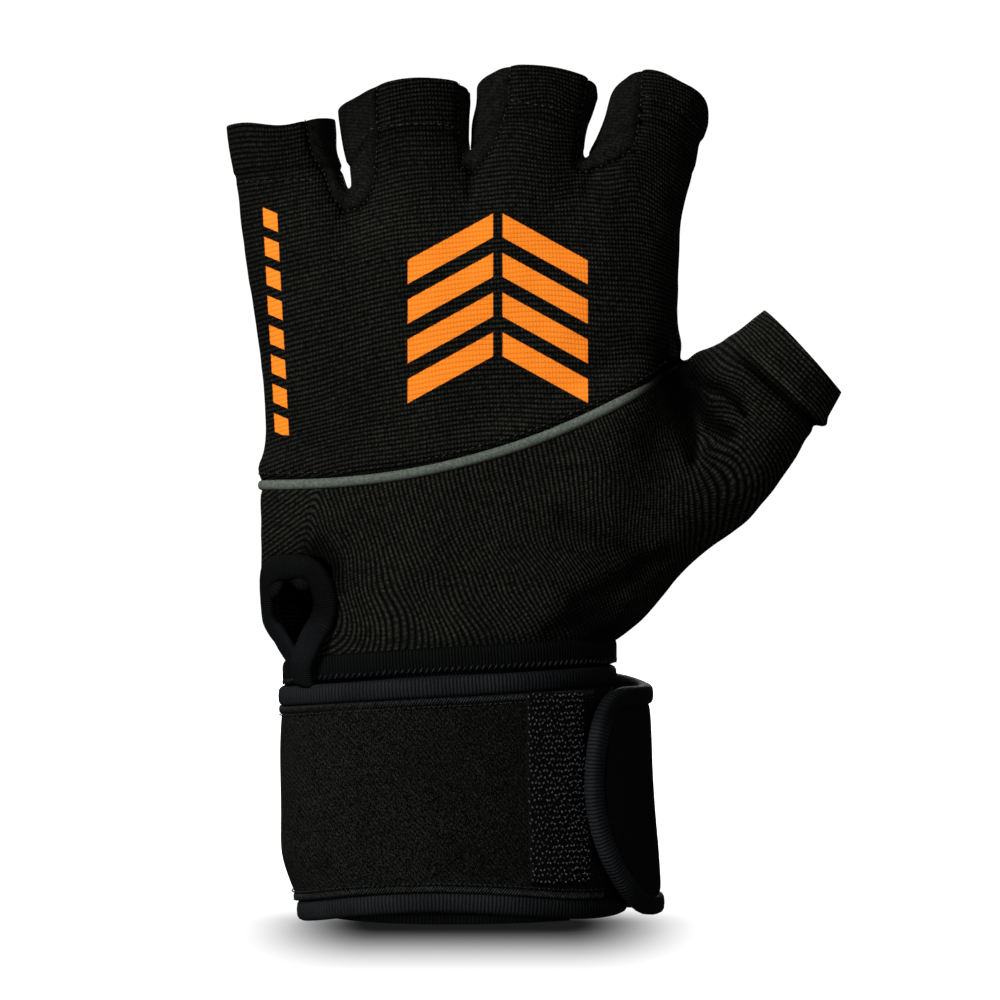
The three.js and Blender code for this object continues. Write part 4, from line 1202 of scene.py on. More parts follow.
class Wire:
    """An output of a node that takes Python's arithmetic; each sign adds a Math node."""

    def __init__(self, look, socket):
        self.look = look
        self.socket = socket

    def math(self, operation, *values):
        return self.look.node("ShaderNodeMath", {"operation": operation}, dict(enumerate(values)))

    def __add__(self, other):
        return self.math("ADD", self, other)

    def __sub__(self, other):
        return self.math("SUBTRACT", self, other)

    def __mul__(self, other):
        return self.math("MULTIPLY", self, other)

    def __truediv__(self, other):
        return self.math("DIVIDE", self, other)

    def __radd__(self, other):
        return self.math("ADD", other, self)

    def __rsub__(self, other):
        return self.math("SUBTRACT", other, self)

    def __rmul__(self, other):
        return self.math("MULTIPLY", other, self)

    def __lt__(self, other):
        return self.math("LESS_THAN", self, other)

    def sine(self):
        return self.math("SINE", self)

    def fraction(self):
        return self.math("FRACT", self)

    def size(self):
        return self.math("ABSOLUTE", self)

    def power(self, other):
        return self.math("POWER", self, other)

    def at_most(self, other):
        return self.math("MINIMUM", self, other)

    def at_least(self, other):
        return self.math("MAXIMUM", self, other)


class Look:
    """A material that is built node by node round one Principled shader."""

    def __init__(self, name, **constants):
        self.material = bpy.data.materials.new(name)
        self.material.use_nodes = True
        self.tree = self.material.node_tree
        self.shader = self.tree.nodes["Principled BSDF"]
        for socket, value in constants.items():
            self.shader.inputs[socket.replace("_", " ")].default_value = value

    def node(self, kind, settings=None, inputs=None, output=0):
        made = self.tree.nodes.new(kind)
        for key, value in (settings or {}).items():
            setattr(made, key, value)
        for key, value in (inputs or {}).items():
            self.set(made.inputs[key], value)
        return Wire(self, made.outputs[output])

    def set(self, socket, value):
        if isinstance(value, Wire):
            self.tree.links.new(value.socket, socket)
        else:
            socket.default_value = value

    def feed(self, **inputs):
        for socket, value in inputs.items():
            self.set(self.shader.inputs[socket.replace("_", " ")], value)

    def cloth(self):
        """The two numbers of the piece's own UV map."""
        pair = self.node("ShaderNodeUVMap", {"uv_map": "cloth"})
        parts = self.node("ShaderNodeSeparateXYZ", inputs={0: pair})
        return parts, Wire(self, parts.socket.node.outputs[1])

    def place(self):
        """Object coordinates as three numbers, in millimetres, and the vector itself in metres."""
        at = self.node("ShaderNodeTexCoord", output=3)
        parts = self.node("ShaderNodeSeparateXYZ", inputs={0: at})
        y, z = (Wire(self, parts.socket.node.outputs[i]) for i in (1, 2))
        return parts / MM, y / MM, z / MM, at

    def noise(self, at, scale, detail=2.0, rough=0.5):
        inputs = {"Vector": at, "Scale": scale, "Detail": detail, "Roughness": rough}
        return self.node("ShaderNodeTexNoise", {"noise_dimensions": "3D"}, inputs)

    def mix(self, share, a, b):
        """From colour a at share 0 to colour b at 1."""
        sockets = {0: share, 6: a, 7: b}
        return self.node("ShaderNodeMix", {"data_type": "RGBA"}, sockets, output=2)

    def step(self, value, low, high):
        """From 0 at low to 1 at high, smoothly."""
        settings = {"interpolation_type": "SMOOTHSTEP"}
        return self.node("ShaderNodeMapRange", settings, {0: value, 1: low, 2: high})

    def bump(self, height, depth_mm):
        inputs = {"Strength": 1.0, "Distance": depth_mm * MM, "Height": height}
        self.set(self.shader.inputs["Normal"], self.node("ShaderNodeBump", {}, inputs))


DARK = (0.0004, 0.0004, 0.0004, 1)
ORANGE = (0.93, 0.225, 0.016, 1)
# The print's ink in the grooves between ribs: painted shade.
SHADED_ORANGE = (0.55, 0.135, 0.012, 1)
# The noise that makes knit and tape uneven, in repeats a metre.
KNIT_NOISE = {"cloudy": 90, "fuzz": 2600, "stitches": 1500}
TAPE_NOISE = {"cloudy": 130, "fuzz": 3200, "wobble": 420}
WRAP_NOISE = {"cloudy": 160, "tufts": 5600, "loops": 4200}
TUFTS = {"slant": math.radians(38), "stretch": 0.42, "twill_pitch": 0.8, "depth": 0.28}
WRAP_PLAIN_FROM = 322
WRAP_PLAIN_BLEND = 4
PRINT_EDGE = 0.12
PRINT_BEFORE_Y = -2.0
CHEVRON = {
    "x": 6.3,
    "low": 124.2,
    "high": 155.4,
    "top_margin": 1.5,
    "half_width": 19.6,
    "half_slit": 0.9,
    "slope": 0.55,
    "pitch": 8.6,
    "share": 0.62,
}
DASHES = {
    "top_x": -43.4,
    "low_x": -40.7,
    "low": 106.8,
    "high": 157.2,
    "half_width": 1.7,
    "slope": 0.45,
    "pitch": 6.4,
    "share": 0.66,
    "edge": 0.03,
}


def ridges(count):
    """Rounded ridges, 0 to 1, one for each step of a count."""
    across = count.fraction() * 2 - 1
    return 1 - across * across


def knit_look(name, dark, light, nub_pitch, nub_depth, depth, rib_edge, print_mask=None):
    """Ribbed knit, whose loops stand on the ribs as small nubs."""
    look = Look(name, Roughness=0.9, Specular_IOR_Level=0.03)
    along, count = look.cloth()
    x, y, z, at = look.place()
    ridge = ridges(count)
    row = count.math("FLOOR", count) * 0.5
    loops = (along * (2 * math.pi / nub_pitch) + row).sine() * 0.5 + 0.5
    nubs = 1 - nub_depth + loops * nub_depth
    height = ridge * nubs
    cloudy = look.noise(at, KNIT_NOISE["cloudy"], 3)
    fuzz = look.noise(at, KNIT_NOISE["fuzz"], 2)
    stitches = look.noise(at, KNIT_NOISE["stitches"], 1)
    # The shell's "crease" attribute is painted shade and painted light; it darkens or lightens the knit's
    # colour.
    crease = look.node("ShaderNodeAttribute", {"attribute_name": "crease"}, output=2)
    # Darker in the grooves between ribs and between the loops: painted shade, beside the bump.
    lit = (0.06 + ridge.power(rib_edge) * 0.94) * nubs
    lit = lit * (stitches * 3.2 - 0.6).at_least(0.1) * (0.1 + fuzz * 1.8) * (0.5 + cloudy)
    lit = lit * (1 - crease * 0.95) * 0.5
    colour = look.mix(lit, dark, light)
    if print_mask:
        mask = print_mask(look, x, y, z)
        # The ink is darker in the rib grooves: painted shade.
        ink = look.mix(ridge.power(0.5) * (0.85 + fuzz * 0.3), SHADED_ORANGE, ORANGE)
        colour = look.mix(mask, colour, ink)
        height = height * (1 - mask * 0.7)
        look.feed(Roughness=0.85 - mask * 0.3)
    look.feed(Base_Color=colour)
    look.bump(height + fuzz * 0.22, depth)
    return look.material


def printed(look, depth):
    """1 at places that lie some depth inside the print's border, with a soft edge."""
    return look.step(depth, 0, 2 * PRINT_EDGE)


def chevron_print(look, x, z):
    """Stacked chevrons over the back of the hand, with a slit down the middle."""
    off = (x - CHEVRON["x"]).size()
    level = z + off * CHEVRON["slope"]
    wave = ((level - CHEVRON["low"]) / CHEVRON["pitch"]).fraction()
    edge = PRINT_EDGE / CHEVRON["pitch"]
    band = look.step(wave, edge, 3 * edge)
    band = band * (1 - look.step(wave, CHEVRON["share"], CHEVRON["share"] + 2 * edge))
    within = printed(look, CHEVRON["half_width"] - off) * printed(look, level - CHEVRON["low"])
    within = within * printed(look, CHEVRON["high"] + CHEVRON["top_margin"] - level)
    return band * within * look.step(off, CHEVRON["half_slit"], CHEVRON["half_slit"] + 2 * PRINT_EDGE)


def dash_print(look, x, z):
    """A leaning column of plain slanted dashes near the little finger's edge."""
    slant = (DASHES["top_x"] - DASHES["low_x"]) / (DASHES["high"] - DASHES["low"])
    sideways = x - (DASHES["low_x"] + (z - DASHES["low"]) * slant)
    turn = ((z - DASHES["low"] + sideways * DASHES["slope"]) / DASHES["pitch"]).fraction()
    dash = look.step(turn, 0.02, 0.05)
    dash = dash * (1 - look.step(turn, DASHES["share"], DASHES["share"] + DASHES["edge"]))
    column = printed(look, DASHES["half_width"] - sideways.size())
    return dash * column * printed(look, z - DASHES["low"]) * printed(look, DASHES["high"] - z)


def back_print(look, x, y, z):
    """The share of print at a place, on the back of the hand alone."""
    marks = chevron_print(look, x, z) + dash_print(look, x, z)
    return marks.at_most(1.0) * (y < PRINT_BEFORE_Y)


def tape_look(name, dark, light, pitch, depth, shade):
    """Binding tape with fine ribs across its length; shade gives the share of light from x and z."""
    look = Look(name, Roughness=0.7, Specular_IOR_Level=0.04)
    along, _ = look.cloth()
    x, _, z, at = look.place()
    wobble = look.noise(at, TAPE_NOISE["wobble"], 2)
    ridge = ridges((along + wobble * 0.5) / pitch)
    fuzz = look.noise(at, TAPE_NOISE["fuzz"], 2)
    cloudy = look.noise(at, TAPE_NOISE["cloudy"], 2)
    # The grooves between the tape's ribs are darker: painted shade.
    lit = (0.25 + ridge * 0.75) * (0.25 + fuzz * 1.1) * (0.45 + cloudy * 1.1) * shade(look, x, z)
    look.feed(Base_Color=look.mix(lit, dark, light))
    look.bump(ridge + fuzz * 0.6, depth)
    return look.material


def wrap_tape_shade(look, x, z):
    return 1 - look.step(x, 6, 24) * look.step((z - 27).size(), 15, 21) * 0.7


def slit_shade(look, x, z):
    right = look.step(x, -36.5, -33.5) * look.step(z, 65, 70)
    return (1 - right * 0.6) * (1.3 - look.step(z, 63, 70) * 0.75)


def hem_shade(look, x, _z):
    return 1.2 - look.step(x, -10, 24) * 0.85


def wrap_look(name, dark, light):
    """Brushed loop cloth: matted loops with lighter tips, plain and smooth near the free end."""
    look = Look(name, Roughness=0.95, Specular_IOR_Level=0.03)
    along, _ = look.cloth()
    x, _, z, at = look.place()
    plain = look.step(along, WRAP_PLAIN_FROM, WRAP_PLAIN_FROM + WRAP_PLAIN_BLEND)
    turned = {"Vector": at, "Rotation": (0, TUFTS["slant"], 0), "Scale": (1, 1, TUFTS["stretch"])}
    tufts = look.noise(look.node("ShaderNodeMapping", inputs=turned), WRAP_NOISE["tufts"], 1, 0.6)
    loops = look.noise(at, WRAP_NOISE["loops"], 1)
    cloudy = look.noise(at, WRAP_NOISE["cloudy"], 3)
    twill = (x * 0.75 + z * 0.66 + tufts * 0.5) * (2 * math.pi / TUFTS["twill_pitch"])
    tips = look.step(tufts, 0.4, 0.66) * look.step(loops, 0.25, 0.75) * (twill.sine() * 0.3 + 0.7) * 2
    # Darker towards +x, where the band turns away from the light: painted shade.
    lit = tips * (0.5 + cloudy) * (1.25 - look.step(x, -32, 28) * 0.5) * (1 - plain * 0.85) + plain * 0.1
    look.feed(Base_Color=look.mix(lit, dark, light))
    look.bump((tufts + loops * 0.4) * (1 - plain * 0.75), TUFTS["depth"])
    return look.material


def plain_look(name, dark, light, grain, roughness, specular, depth, painted_shade_x=None):
    """A grainy finish for thread, piping and moulded hooks; painted shade may darken it from one x to
    another.
    """
    look = Look(name, Roughness=roughness, Specular_IOR_Level=specular)
    x, _, _, at = look.place()
    grains = look.noise(at, grain, 3)
    colour = look.mix(look.step(grains, 0.3, 0.7), dark, light)
    # Painted shade: the colour darkens to DARK between the two x.
    if painted_shade_x:
        colour = look.mix(look.step(x, *painted_shade_x), colour, DARK)
    look.feed(Base_Color=colour)
    look.bump(grains, depth)
    return look.material


RIB_LIGHT = (0.0302, 0.03, 0.0249, 1)
KNIT_LOOKS = table(
    ("name", "dark", "light", "nub_pitch", "nub_depth", "depth", "rib_edge", "print_mask"),
    ("ribbed_knit_look", DARK, RIB_LIGHT, 0.74, 0.36, 0.36, 3.0, None),
    ("printed_knit_look", DARK, RIB_LIGHT, 0.74, 0.58, 0.32, 2.6, back_print),
    ("jersey_look", (0.0008, 0.0008, 0.0007, 1), (0.0144, 0.0144, 0.0125, 1), 0.7, 0.4, 0.08, 0.45, None),
)
TAPE_LOOKS = table(
    ("name", "dark", "light", "pitch", "depth", "shade"),
    ("binding_look", (0.0006, 0.0007, 0.0009, 1), (0.0125, 0.0138, 0.0146, 1), 0.8, 0.2, wrap_tape_shade),
    ("slit_look", (0.0004, 0.0004, 0.0005, 1), (0.0046, 0.005, 0.0055, 1), 0.46, 0.14, slit_shade),
    # The hem's tape is a darker copy of the binding: painted shade, as it lies under the puffed lower panel.
    ("hem_look", (0.0004, 0.0005, 0.0006, 1), (0.0018, 0.002, 0.0022, 1), 0.7, 0.18, hem_shade),
)
PLAIN_LOOKS = table(
    ("name", "dark", "light", "grain", "roughness", "specular", "depth", "painted_shade_x"),
    ("thread_look", (0.003, 0.003, 0.0033, 1), (0.021, 0.022, 0.0235, 1), 1500, 0.6, 0.1, 0.03, None),
    ("seam_thread_look", (0.004, 0.004, 0.004, 1), (0.034, 0.035, 0.034, 1), 1500, 0.6, 0.1, 0.03, None),
    # The piping darkens with painted shade as it runs into the fold by the thumb.
    ("piping_look", (0.055, 0.065, 0.054, 1), (0.1, 0.117, 0.098, 1), 1800, 0.7, 0.08, 0.05, (31, 43)),
    ("hook_base_look", DARK, (0.002, 0.002, 0.002, 1), 1400, 0.8, 0.06, 0.1, None),
    ("hook_look", (0.0008, 0.0009, 0.0009, 1), (0.075, 0.079, 0.081, 1), 900, 0.4, 0.2, 0.02, None),
)


# Tapes, cords and stitches


def tape_section(width, low, high, count=14, power=3.2):
    """A flattened rounded section, as (across, out) pairs; low and high are its two faces."""
    made = []
    for i in range(count):
        turn = 2 * math.pi * (i + 0.5) / count
        across = squared(math.cos(turn), 2 / power) * width / 2
        made.append((across, (low + high) / 2 + squared(math.sin(turn), 2 / power) * (high - low) / 2))
    return made


def spline(points, steps, closed=False):
    """Points on a smooth curve through the given ones."""
    rows = [np.array(point, float) for point in points]
    last = len(rows) - 1
    made = []
    for i in range(len(rows) if closed else last):
        steps_near = (i - 1, i, i + 1, i + 2)
        a, b, c, d = (rows[k % len(rows) if closed else clamp(k, 0, last)] for k in steps_near)
        for s in range(steps):
            t = s / steps
            bent = (2 * a - 5 * b + 4 * c - d) * t**2 + (3 * b - a - 3 * c + d) * t**3
            made.append((2 * b + (c - a) * t + bent) / 2)
    return made if closed else [*made, rows[-1]]


def smoothed(points, times, closed=False):
    """Each point drawn towards its neighbours, some times over; open ends stay."""
    rows = np.array([list(point) for point in points], float)
    for _ in range(times):
        mean = (np.roll(rows, 1, 0) + 2 * rows + np.roll(rows, -1, 0)) / 4
        if not closed:
            mean[0], mean[-1] = rows[0], rows[-1]
        rows = mean
    return [Vector(row) for row in rows]


def rings_along(path, outs, section, closed=False, widths=None):
    """Rings of a section along a path; outs point away from the glove, and widths stretch it across."""
    last = len(path) - 1
    rings = []
    for i, (at, out) in enumerate(zip(path, outs)):
        wide = widths[i] if widths else 1
        before = path[i - 1] if closed or i else path[0]
        after = path[(i + 1) % len(path)] if closed else path[min(last, i + 1)]
        forward = (after - before).normalized()
        side = out.cross(forward).normalized()
        up = forward.cross(side)
        rings.append([at + (side * across + up * lift) * wide for across, lift in section])
    return rings


STITCH_PITCH = {"hem": 1.35, "row": 1.75, "piping": 1.6, "gusset": 1.5}
STITCHES = {
    "hem": {"length": 1.7, "width": 0.34, "height": 0.34},
    "row": {"length": 1.2, "width": 0.34, "height": 0.3},
    "piping": {"length": 1.05, "width": 0.3, "height": 0.26},
    "gusset": {"length": 0.8, "width": 0.3, "height": 0.25},
    "hook_stem": {"length": 0.62, "width": 0.3, "height": 0.24},
    "hook_head": {"length": 0.56, "width": 0.3, "height": 0.24},
}


def add_stitch(bm, at, out, forward, length, width, height):
    """One stitch: a small rounded bar laid along forward."""
    side = out.cross(forward).normalized()
    along = side.cross(out).normalized()
    axes = Matrix((along * length, side * width, out * height)).transposed().to_4x4()
    bmesh.ops.create_icosphere(bm, subdivisions=1, radius=0.5, matrix=Matrix.Translation(at) @ axes)


def walk(path, pitch, start=0.0):
    """Evenly spaced (place, outward direction, forward direction) along a path of (place, out) pairs."""
    made = []
    due = start
    gone = 0.0
    for (a, out_a), (b, out_b) in zip(path, path[1:]):
        length = (b - a).length
        while length > 1e-9 and due <= gone + length:
            t = (due - gone) / length
            made.append((a.lerp(b, t), out_a.lerp(out_b, t).normalized(), (b - a).normalized()))
            due += pitch
        gone += length
    return made


def shell_tree():
    bm = bmesh.new()
    bm.from_mesh(SHELL)
    bmesh.ops.scale(bm, vec=(1 / MM,) * 3, verts=bm.verts)
    tree = BVHTree.FromBMesh(bm)
    bm.free()
    return tree


def on_shell(points, lift):
    """Points laid on the shell at the nearest place, with its outward direction there."""
    made = []
    for point in points:
        at, out, _, _ = SHELL_TREE.find_nearest(Vector(point))
        made.append((at + out * lift, out))
    return made


def seen_on_shell(points, from_y, lift):
    """(x, z) places laid on the shell's back or palm, as seen straight from y, with the outward direction."""
    made = []
    for x, z in points:
        at, out, _, _ = SHELL_TREE.ray_cast(Vector((x, from_y, z)), Vector((0, -from_y, 0)).normalized())
        if at:
            made.append((at + out * lift, out))
    return made


def piping_cord():
    chain = max(chains_of(LINES["piping"]), key=len)
    if PLACES[chain[0]][0] > 0:
        chain = chain[::-1]
    at_crotch = max(i for i, number in enumerate(chain) if PLACES[number][1] < -5.0)
    chain = chain[: at_crotch + 1]
    path = smoothed([PLACES[number] for number in chain], PIPING["smoothed"])
    outs = [out.normalized() for out in smoothed([NORMALS[number] for number in chain], PIPING["smoothed"])]
    lifted = [at + out * PIPING["lift"] for at, out in zip(path, outs)]
    section = tape_section(PIPING["width"], PIPING["proud"] - PIPING["thickness"], PIPING["proud"], 12, 2.3)
    last = len(lifted[::2]) - 1
    thin = [smooth(clamp(1 - (last - i) / PIPING["narrow_rings"])) for i in range(last + 1)]
    widths = [1 - PIPING["narrowed_by"] * share for share in thin]
    rings = rings_along(lifted[::2], outs[::2], section, widths=widths)
    return sweep("piping_cord", rings), list(zip(lifted, outs))


def hem_path():
    """Stations of the wrist hem's tape, all round the shell's first row."""
    drop = HEM_TAPE["height"] / 2 + HEM_TAPE["gap"]
    rows = []
    for at, out in zip(FLAT_LOWER[0], NORMAL_LOWER[0]):
        flat = Vector((out.x, out.y, 0)).normalized()
        rows.append((*(at - Vector((0, 0, drop))), *flat))
    rows = spline(rows[::2], 6, closed=True)
    path = smoothed([row[:3] for row in rows], 6, closed=True)
    return path, [Vector(row[3:]).normalized() for row in rows]


def hem_tape():
    path, outs = hem_path()
    inner = WALL * 0.5 + HEM_TAPE["thickness"] / 2
    section = tape_section(HEM_TAPE["height"], -inner, HEM_TAPE["thickness"] - inner, 16, 3.6)
    return sweep("hem_tape", rings_along(path, outs, section, closed=True), closed=True)


def hem_stitches():
    """Whip stitches over the hem tape's lower edge."""
    path, outs = hem_path()
    bm = bmesh.new()
    low = Vector((0, 0, -HEM_TAPE["height"] / 2 + 0.9))
    face = HEM_TAPE["thickness"] / 2 - WALL * 0.5 - 0.1
    line = [(at + low + out * face, out) for at, out in zip(path, outs)]
    for at, out, forward in walk([*line, line[0]], STITCH_PITCH["hem"]):
        slanted = (forward * 0.55 + Vector((0, 0, 0.85))).normalized()
        add_stitch(bm, at, out, slanted, **STITCHES["hem"])
    return object_from("hem_thread", bm)


def laid_on_net(rows):
    """Path and outward directions of (column, row, lift) places over the lower shell."""
    both = []
    for column, row, lift in rows:
        out = lower_place(NORMAL_LOWER, column, row).normalized()
        both.append((*(lower_place(FLAT_LOWER, column, row) + out * lift), *out))
    both = spline(both, 3)
    path = smoothed([row[:3] for row in both], 6)
    outs = [Vector(row[3:]).normalized() for row in both]
    return [Vector(at) for at in nudged(np.array(path), NUDGES)], outs


def slit_fold():
    """The tape's inner edge, bunched up at the top of the hole."""
    rows = []
    for i in range(SLIT_FOLD["steps"] + 1):
        t = i / SLIT_FOLD["steps"]
        wave = math.sin(t * SLIT_FOLD["waves"] * 2 * math.pi)
        turn = math.radians(lerp(SLIT_FOLD["start"], SLIT_FOLD["end"], t))
        column, row = slit_place(turn, SLIT_TAPE["gap"] + SLIT_TAPE["width"] - 0.5 + wave * SLIT_FOLD["sway"])
        rows.append((column, row, -0.2 + wave * SLIT_FOLD["heave"]))
    path, outs = laid_on_net(rows)
    section = tape_section(SLIT_FOLD["width"], -0.8, 0.8, 12, 2.4)
    return sweep("slit_fold", rings_along(path, outs, section))


def slit_tape():
    width, thickness = SLIT_TAPE["width"], SLIT_TAPE["thickness"]
    rows = [(head["column"], head["row"], head["lift"]) for head in SLIT_HEAD]
    for i in range(SLIT_LOOP["steps"] + 1):
        t = i / SLIT_LOOP["steps"]
        turn = math.radians(lerp(SLIT_LOOP["start"], SLIT_LOOP["end"], t))
        column, row = slit_place(turn, SLIT_TAPE["gap"] + width / 2)
        rows.append((column, row, lerp(SLIT_LOOP["start_lift"], SLIT_LOOP["end_lift"], smooth(t))))
    rows += [(tail["column"], tail["row"], tail["lift"]) for tail in SLIT_TAIL]
    path, outs = laid_on_net(rows)
    section = tape_section(width, -thickness / 2, thickness / 2, 14, 2.8)
    shares = [i / (len(path) - 1) for i in range(len(path))]
    widths = [1 + 0.15 * bell(t - 0.42, 0.1) + 0.12 * ease(t, 0.66, 0.85) for t in shares]
    return sweep("slit_tape", rings_along(path, outs, section, widths=widths))


def strap_point(along, z, out):
    """A point of the wrap: turns along it, height, and distance out from the band's inner face."""
    angle = math.radians(STRAP["start_angle"]) - along * 2 * math.pi
    cos, sin = math.cos(angle), math.sin(angle)
    grown = STRAP["pitch"] * along + table_value(STRAP_EDGES, "along", along, "extra") + out
    power = 2 / STRAP["roundness"]
    x = (STRAP["half_width"] + grown) * squared(cos, power)
    y = ((STRAP["half_front"] if sin < 0 else STRAP["half_back"]) + grown) * squared(sin, power)
    tuck = LEFT_TUCK["depth"] * smooth(clamp(1 - z / LEFT_TUCK["below"])) * max(0, -cos)
    flare = RIGHT_FLARE["depth"] * smooth(clamp(1 - z / RIGHT_FLARE["below"])) * max(0, cos)
    return Vector((STRAP["centre_x"] + x + tuck + flare, y, z))


def strap_low(along):
    return table_value(STRAP_EDGES, "along", along, "low")


def strap_high(along):
    row = LOWER_ROWS[0]
    x = strap_point(along, row["edge_z"], 0).x
    share = clamp((x - row["edge_x"]) / (row["crotch_x"] - row["edge_x"]))
    hem = lerp(row["edge_z"], row["crotch_z"], share ** row["sag"]) - HEM_TAPE["height"] + 0.5
    return hem - table_value(STRAP_EDGES, "along", along, "under")


def strap_along(step, share, inset):
    """Turns along the wrap at a step, for a row at a share of its width; inset keeps off the free end."""
    end = STRAP["turns"] - (table_value(END_CUT, "share", share, "cut") + inset) / STRAP_GIRTH
    t = step / STRAP["steps"]
    return lerp(t * STRAP["turns"], end * t, smooth(clamp((t - 0.9) / 0.1)))


def strap_profile():
    """The band's section: (share of its width, share of its thickness) pairs, all round."""
    edge = [(0, 0.35), (0, 0.72), (0.013, 0.95)]
    face = [(lerp(0.05, 0.95, i / 14), 1) for i in range(15)]
    back = [(lerp(0.97, 0.03, i / 8), 0) for i in range(9)]
    return edge + face + [(1 - share, out) for share, out in edge[::-1]] + back


def strap_band():
    inset = STRAP_TAPE["height"] + STRAP_TAPE["gap"] - 0.6
    rings = []
    for step in range(STRAP["steps"] + 1):
        ring = []
        for share, out in strap_profile():
            along = strap_along(step, share, inset)
            z = lerp(strap_low(along) + inset, strap_high(along) - inset, share)
            at = strap_point(along, z, 0)
            swell = (0.35 * math.sin(math.pi * share) + noise.noise(at / 16) * 0.45) * (out == 1)
            ring.append(strap_point(along, z, out * STRAP["thickness"] + swell))
        rings.append(ring)
    return sweep("wrap_band", rings, subdivide=1)


def strap_edge_line(offset, first=0.0):
    """(along, z) pairs round the band: its lower edge, the free end and back along the upper edge."""
    rows = []
    start = int(first / STRAP["turns"] * STRAP["steps"])
    for step in range(start, STRAP["steps"] + 1):
        along = strap_along(step, 0, offset)
        rows.append((along * STRAP_GIRTH, strap_low(along) + offset, 0))
    for i in range(1, 16):
        share = i / 16
        along = strap_along(STRAP["steps"], share, offset)
        z = lerp(strap_low(along) + offset, strap_high(along) - offset, share)
        rows.append((along * STRAP_GIRTH, z, 0))
    for step in range(STRAP["steps"], start - 1, -1):
        along = strap_along(step, 1, offset)
        rows.append((along * STRAP_GIRTH, strap_high(along) - offset, 0))
    return [(row.x / STRAP_GIRTH, row.y) for row in smoothed(rows, 5)]


def strap_stations(line, lift):
    path = [strap_point(along, z, lift) for along, z in line]
    outs = [(strap_point(along, z, lift + 1) - at).normalized() for (along, z), at in zip(line, path)]
    return path, outs


def strap_tape():
    path, outs = strap_stations(strap_edge_line(STRAP_TAPE["height"] / 2), 0)
    section = tape_section(STRAP_TAPE["height"], 0.05, STRAP["thickness"] + STRAP_TAPE["proud"], 14, 3.0)
    return sweep("wrap_tape", rings_along(path, outs, section))


# The overlock rows run on the wrap's outer turn, between these numbers of turns.
OVERLOCK_FROM = 0.98
OVERLOCK_TO = 1.76
OVERLOCK_LIFT = 0.42
# Rows of thread beside the wrap's tape: the distance in from the tape, the pitch along the row, a stitch's
# length and width, and how far it leans along the row.
OVERLOCK = table(
    ("inset", "pitch", "length", "width", "lean"),
    (0.75, 0.62, 2.1, 0.4, 0.45),
    (1.95, 1.1, 0.85, 0.3, 0.9),
)


def strap_stitches():
    """Two rows of slanted overlock thread beside the wrap's tape, along both edges of its outer turn."""
    bm = bmesh.new()
    for kind in OVERLOCK:
        line = strap_edge_line(STRAP_TAPE["height"] + kind["inset"], OVERLOCK_FROM)
        line = [(along, z) for along, z in line if along < OVERLOCK_TO]
        half = next(i for i, (a, b) in enumerate(zip(line, line[1:])) if b[1] - a[1] > 20) + 1
        for row in (line[:half], line[half:]):
            path, outs = strap_stations(row, STRAP["thickness"] + OVERLOCK_LIFT)
            for at, out, forward in walk(list(zip(path, outs)), kind["pitch"]):
                slanted = (forward * kind["lean"] + out.cross(forward) * (1 - kind["lean"])).normalized()
                add_stitch(bm, at, out, slanted, kind["length"], kind["width"], 0.36)
    return object_from("wrap_thread", bm)


def strap_turn_at(x):
    """Turns along the wrap, in its outer turn, at which the front has a given x."""
    near, far = 1.0, 1.25
    for _ in range(20):
        along = (near + far) / 2
        if strap_point(along, (HOOK["low"] + HOOK["high"]) / 2, STRAP["thickness"]).x > x:
            near = along
        else:
            far = along
    return near


def hook_place(across, up, lift):
    """A place on the hook tape: shares across from its seam and up from its lower end."""
    along = lerp(strap_turn_at(HOOK["from_x"]), strap_turn_at(HOOK["to_x"]), across)
    return strap_point(along, lerp(HOOK["low"], HOOK["high"], up), STRAP["thickness"] + HOOK["seat"] + lift)


def hook_base():
    bm = bmesh.new()
    bmesh.ops.create_grid(bm, x_segments=20, y_segments=40, size=0.5)
    for vertex in bm.verts:
        vertex.co = hook_place(vertex.co.x + 0.5, vertex.co.y + 0.5, HOOK["base"])
    bmesh.ops.recalc_face_normals(bm, faces=bm.faces)
    made = object_from("hook_tape", bm)
    add_wall(made, HOOK["base"] + 0.3)
    return made


def hook_field():
    """Rows of small moulded hooks, each a stem with a bent head."""
    noise.seed_set(HOOK_GRID["seed"])
    bm = bmesh.new()
    across, up, stagger = HOOK_GRID["across"], HOOK_GRID["up"], HOOK_GRID["stagger"]
    for j in range(up):
        for i in range(across):
            shift = noise.noise_vector(Vector((i * 3.7, j * 2.9, 0.5)))
            s = (i + 0.5 + (stagger if j % 2 else -stagger)) / across + shift.x * HOOK_GRID["jitter_across"]
            t = (j + 0.5) / up + shift.y * HOOK_GRID["jitter_up"]
            at = hook_place(s, t, HOOK["base"])
            out = (hook_place(s, t, HOOK["base"] + 1) - at).normalized()
            lean = Vector((0, 0, 1 if i % 2 else -1))
            add_stitch(bm, at + out * 0.22, lean, out, **STITCHES["hook_stem"])
            add_stitch(bm, at + out * 0.5 + lean * 0.18, out, lean, **STITCHES["hook_head"])
    return object_from("hook_heads", bm)


# Rows of stitching across the finger stalls, as (x, z) places. Each runs over the back of the hand, and
# again over the palm.
STITCH_ROWS = (
    ((-49.6, 162.4), (-46, 162.3), (-40, 162.4), (-33.6, 162.4)),
    ((-21.0, 173.6), (-15, 174.3), (-8, 174.6), (-1.6, 174.0)),
    ((9.6, 179.6), (14, 178.8), (19, 178.0), (24.4, 177.4)),
    ((37.6, 180.6), (42, 179.8), (46, 177.6), (50.4, 174.0)),
)
OUTSIDE_Y = 60


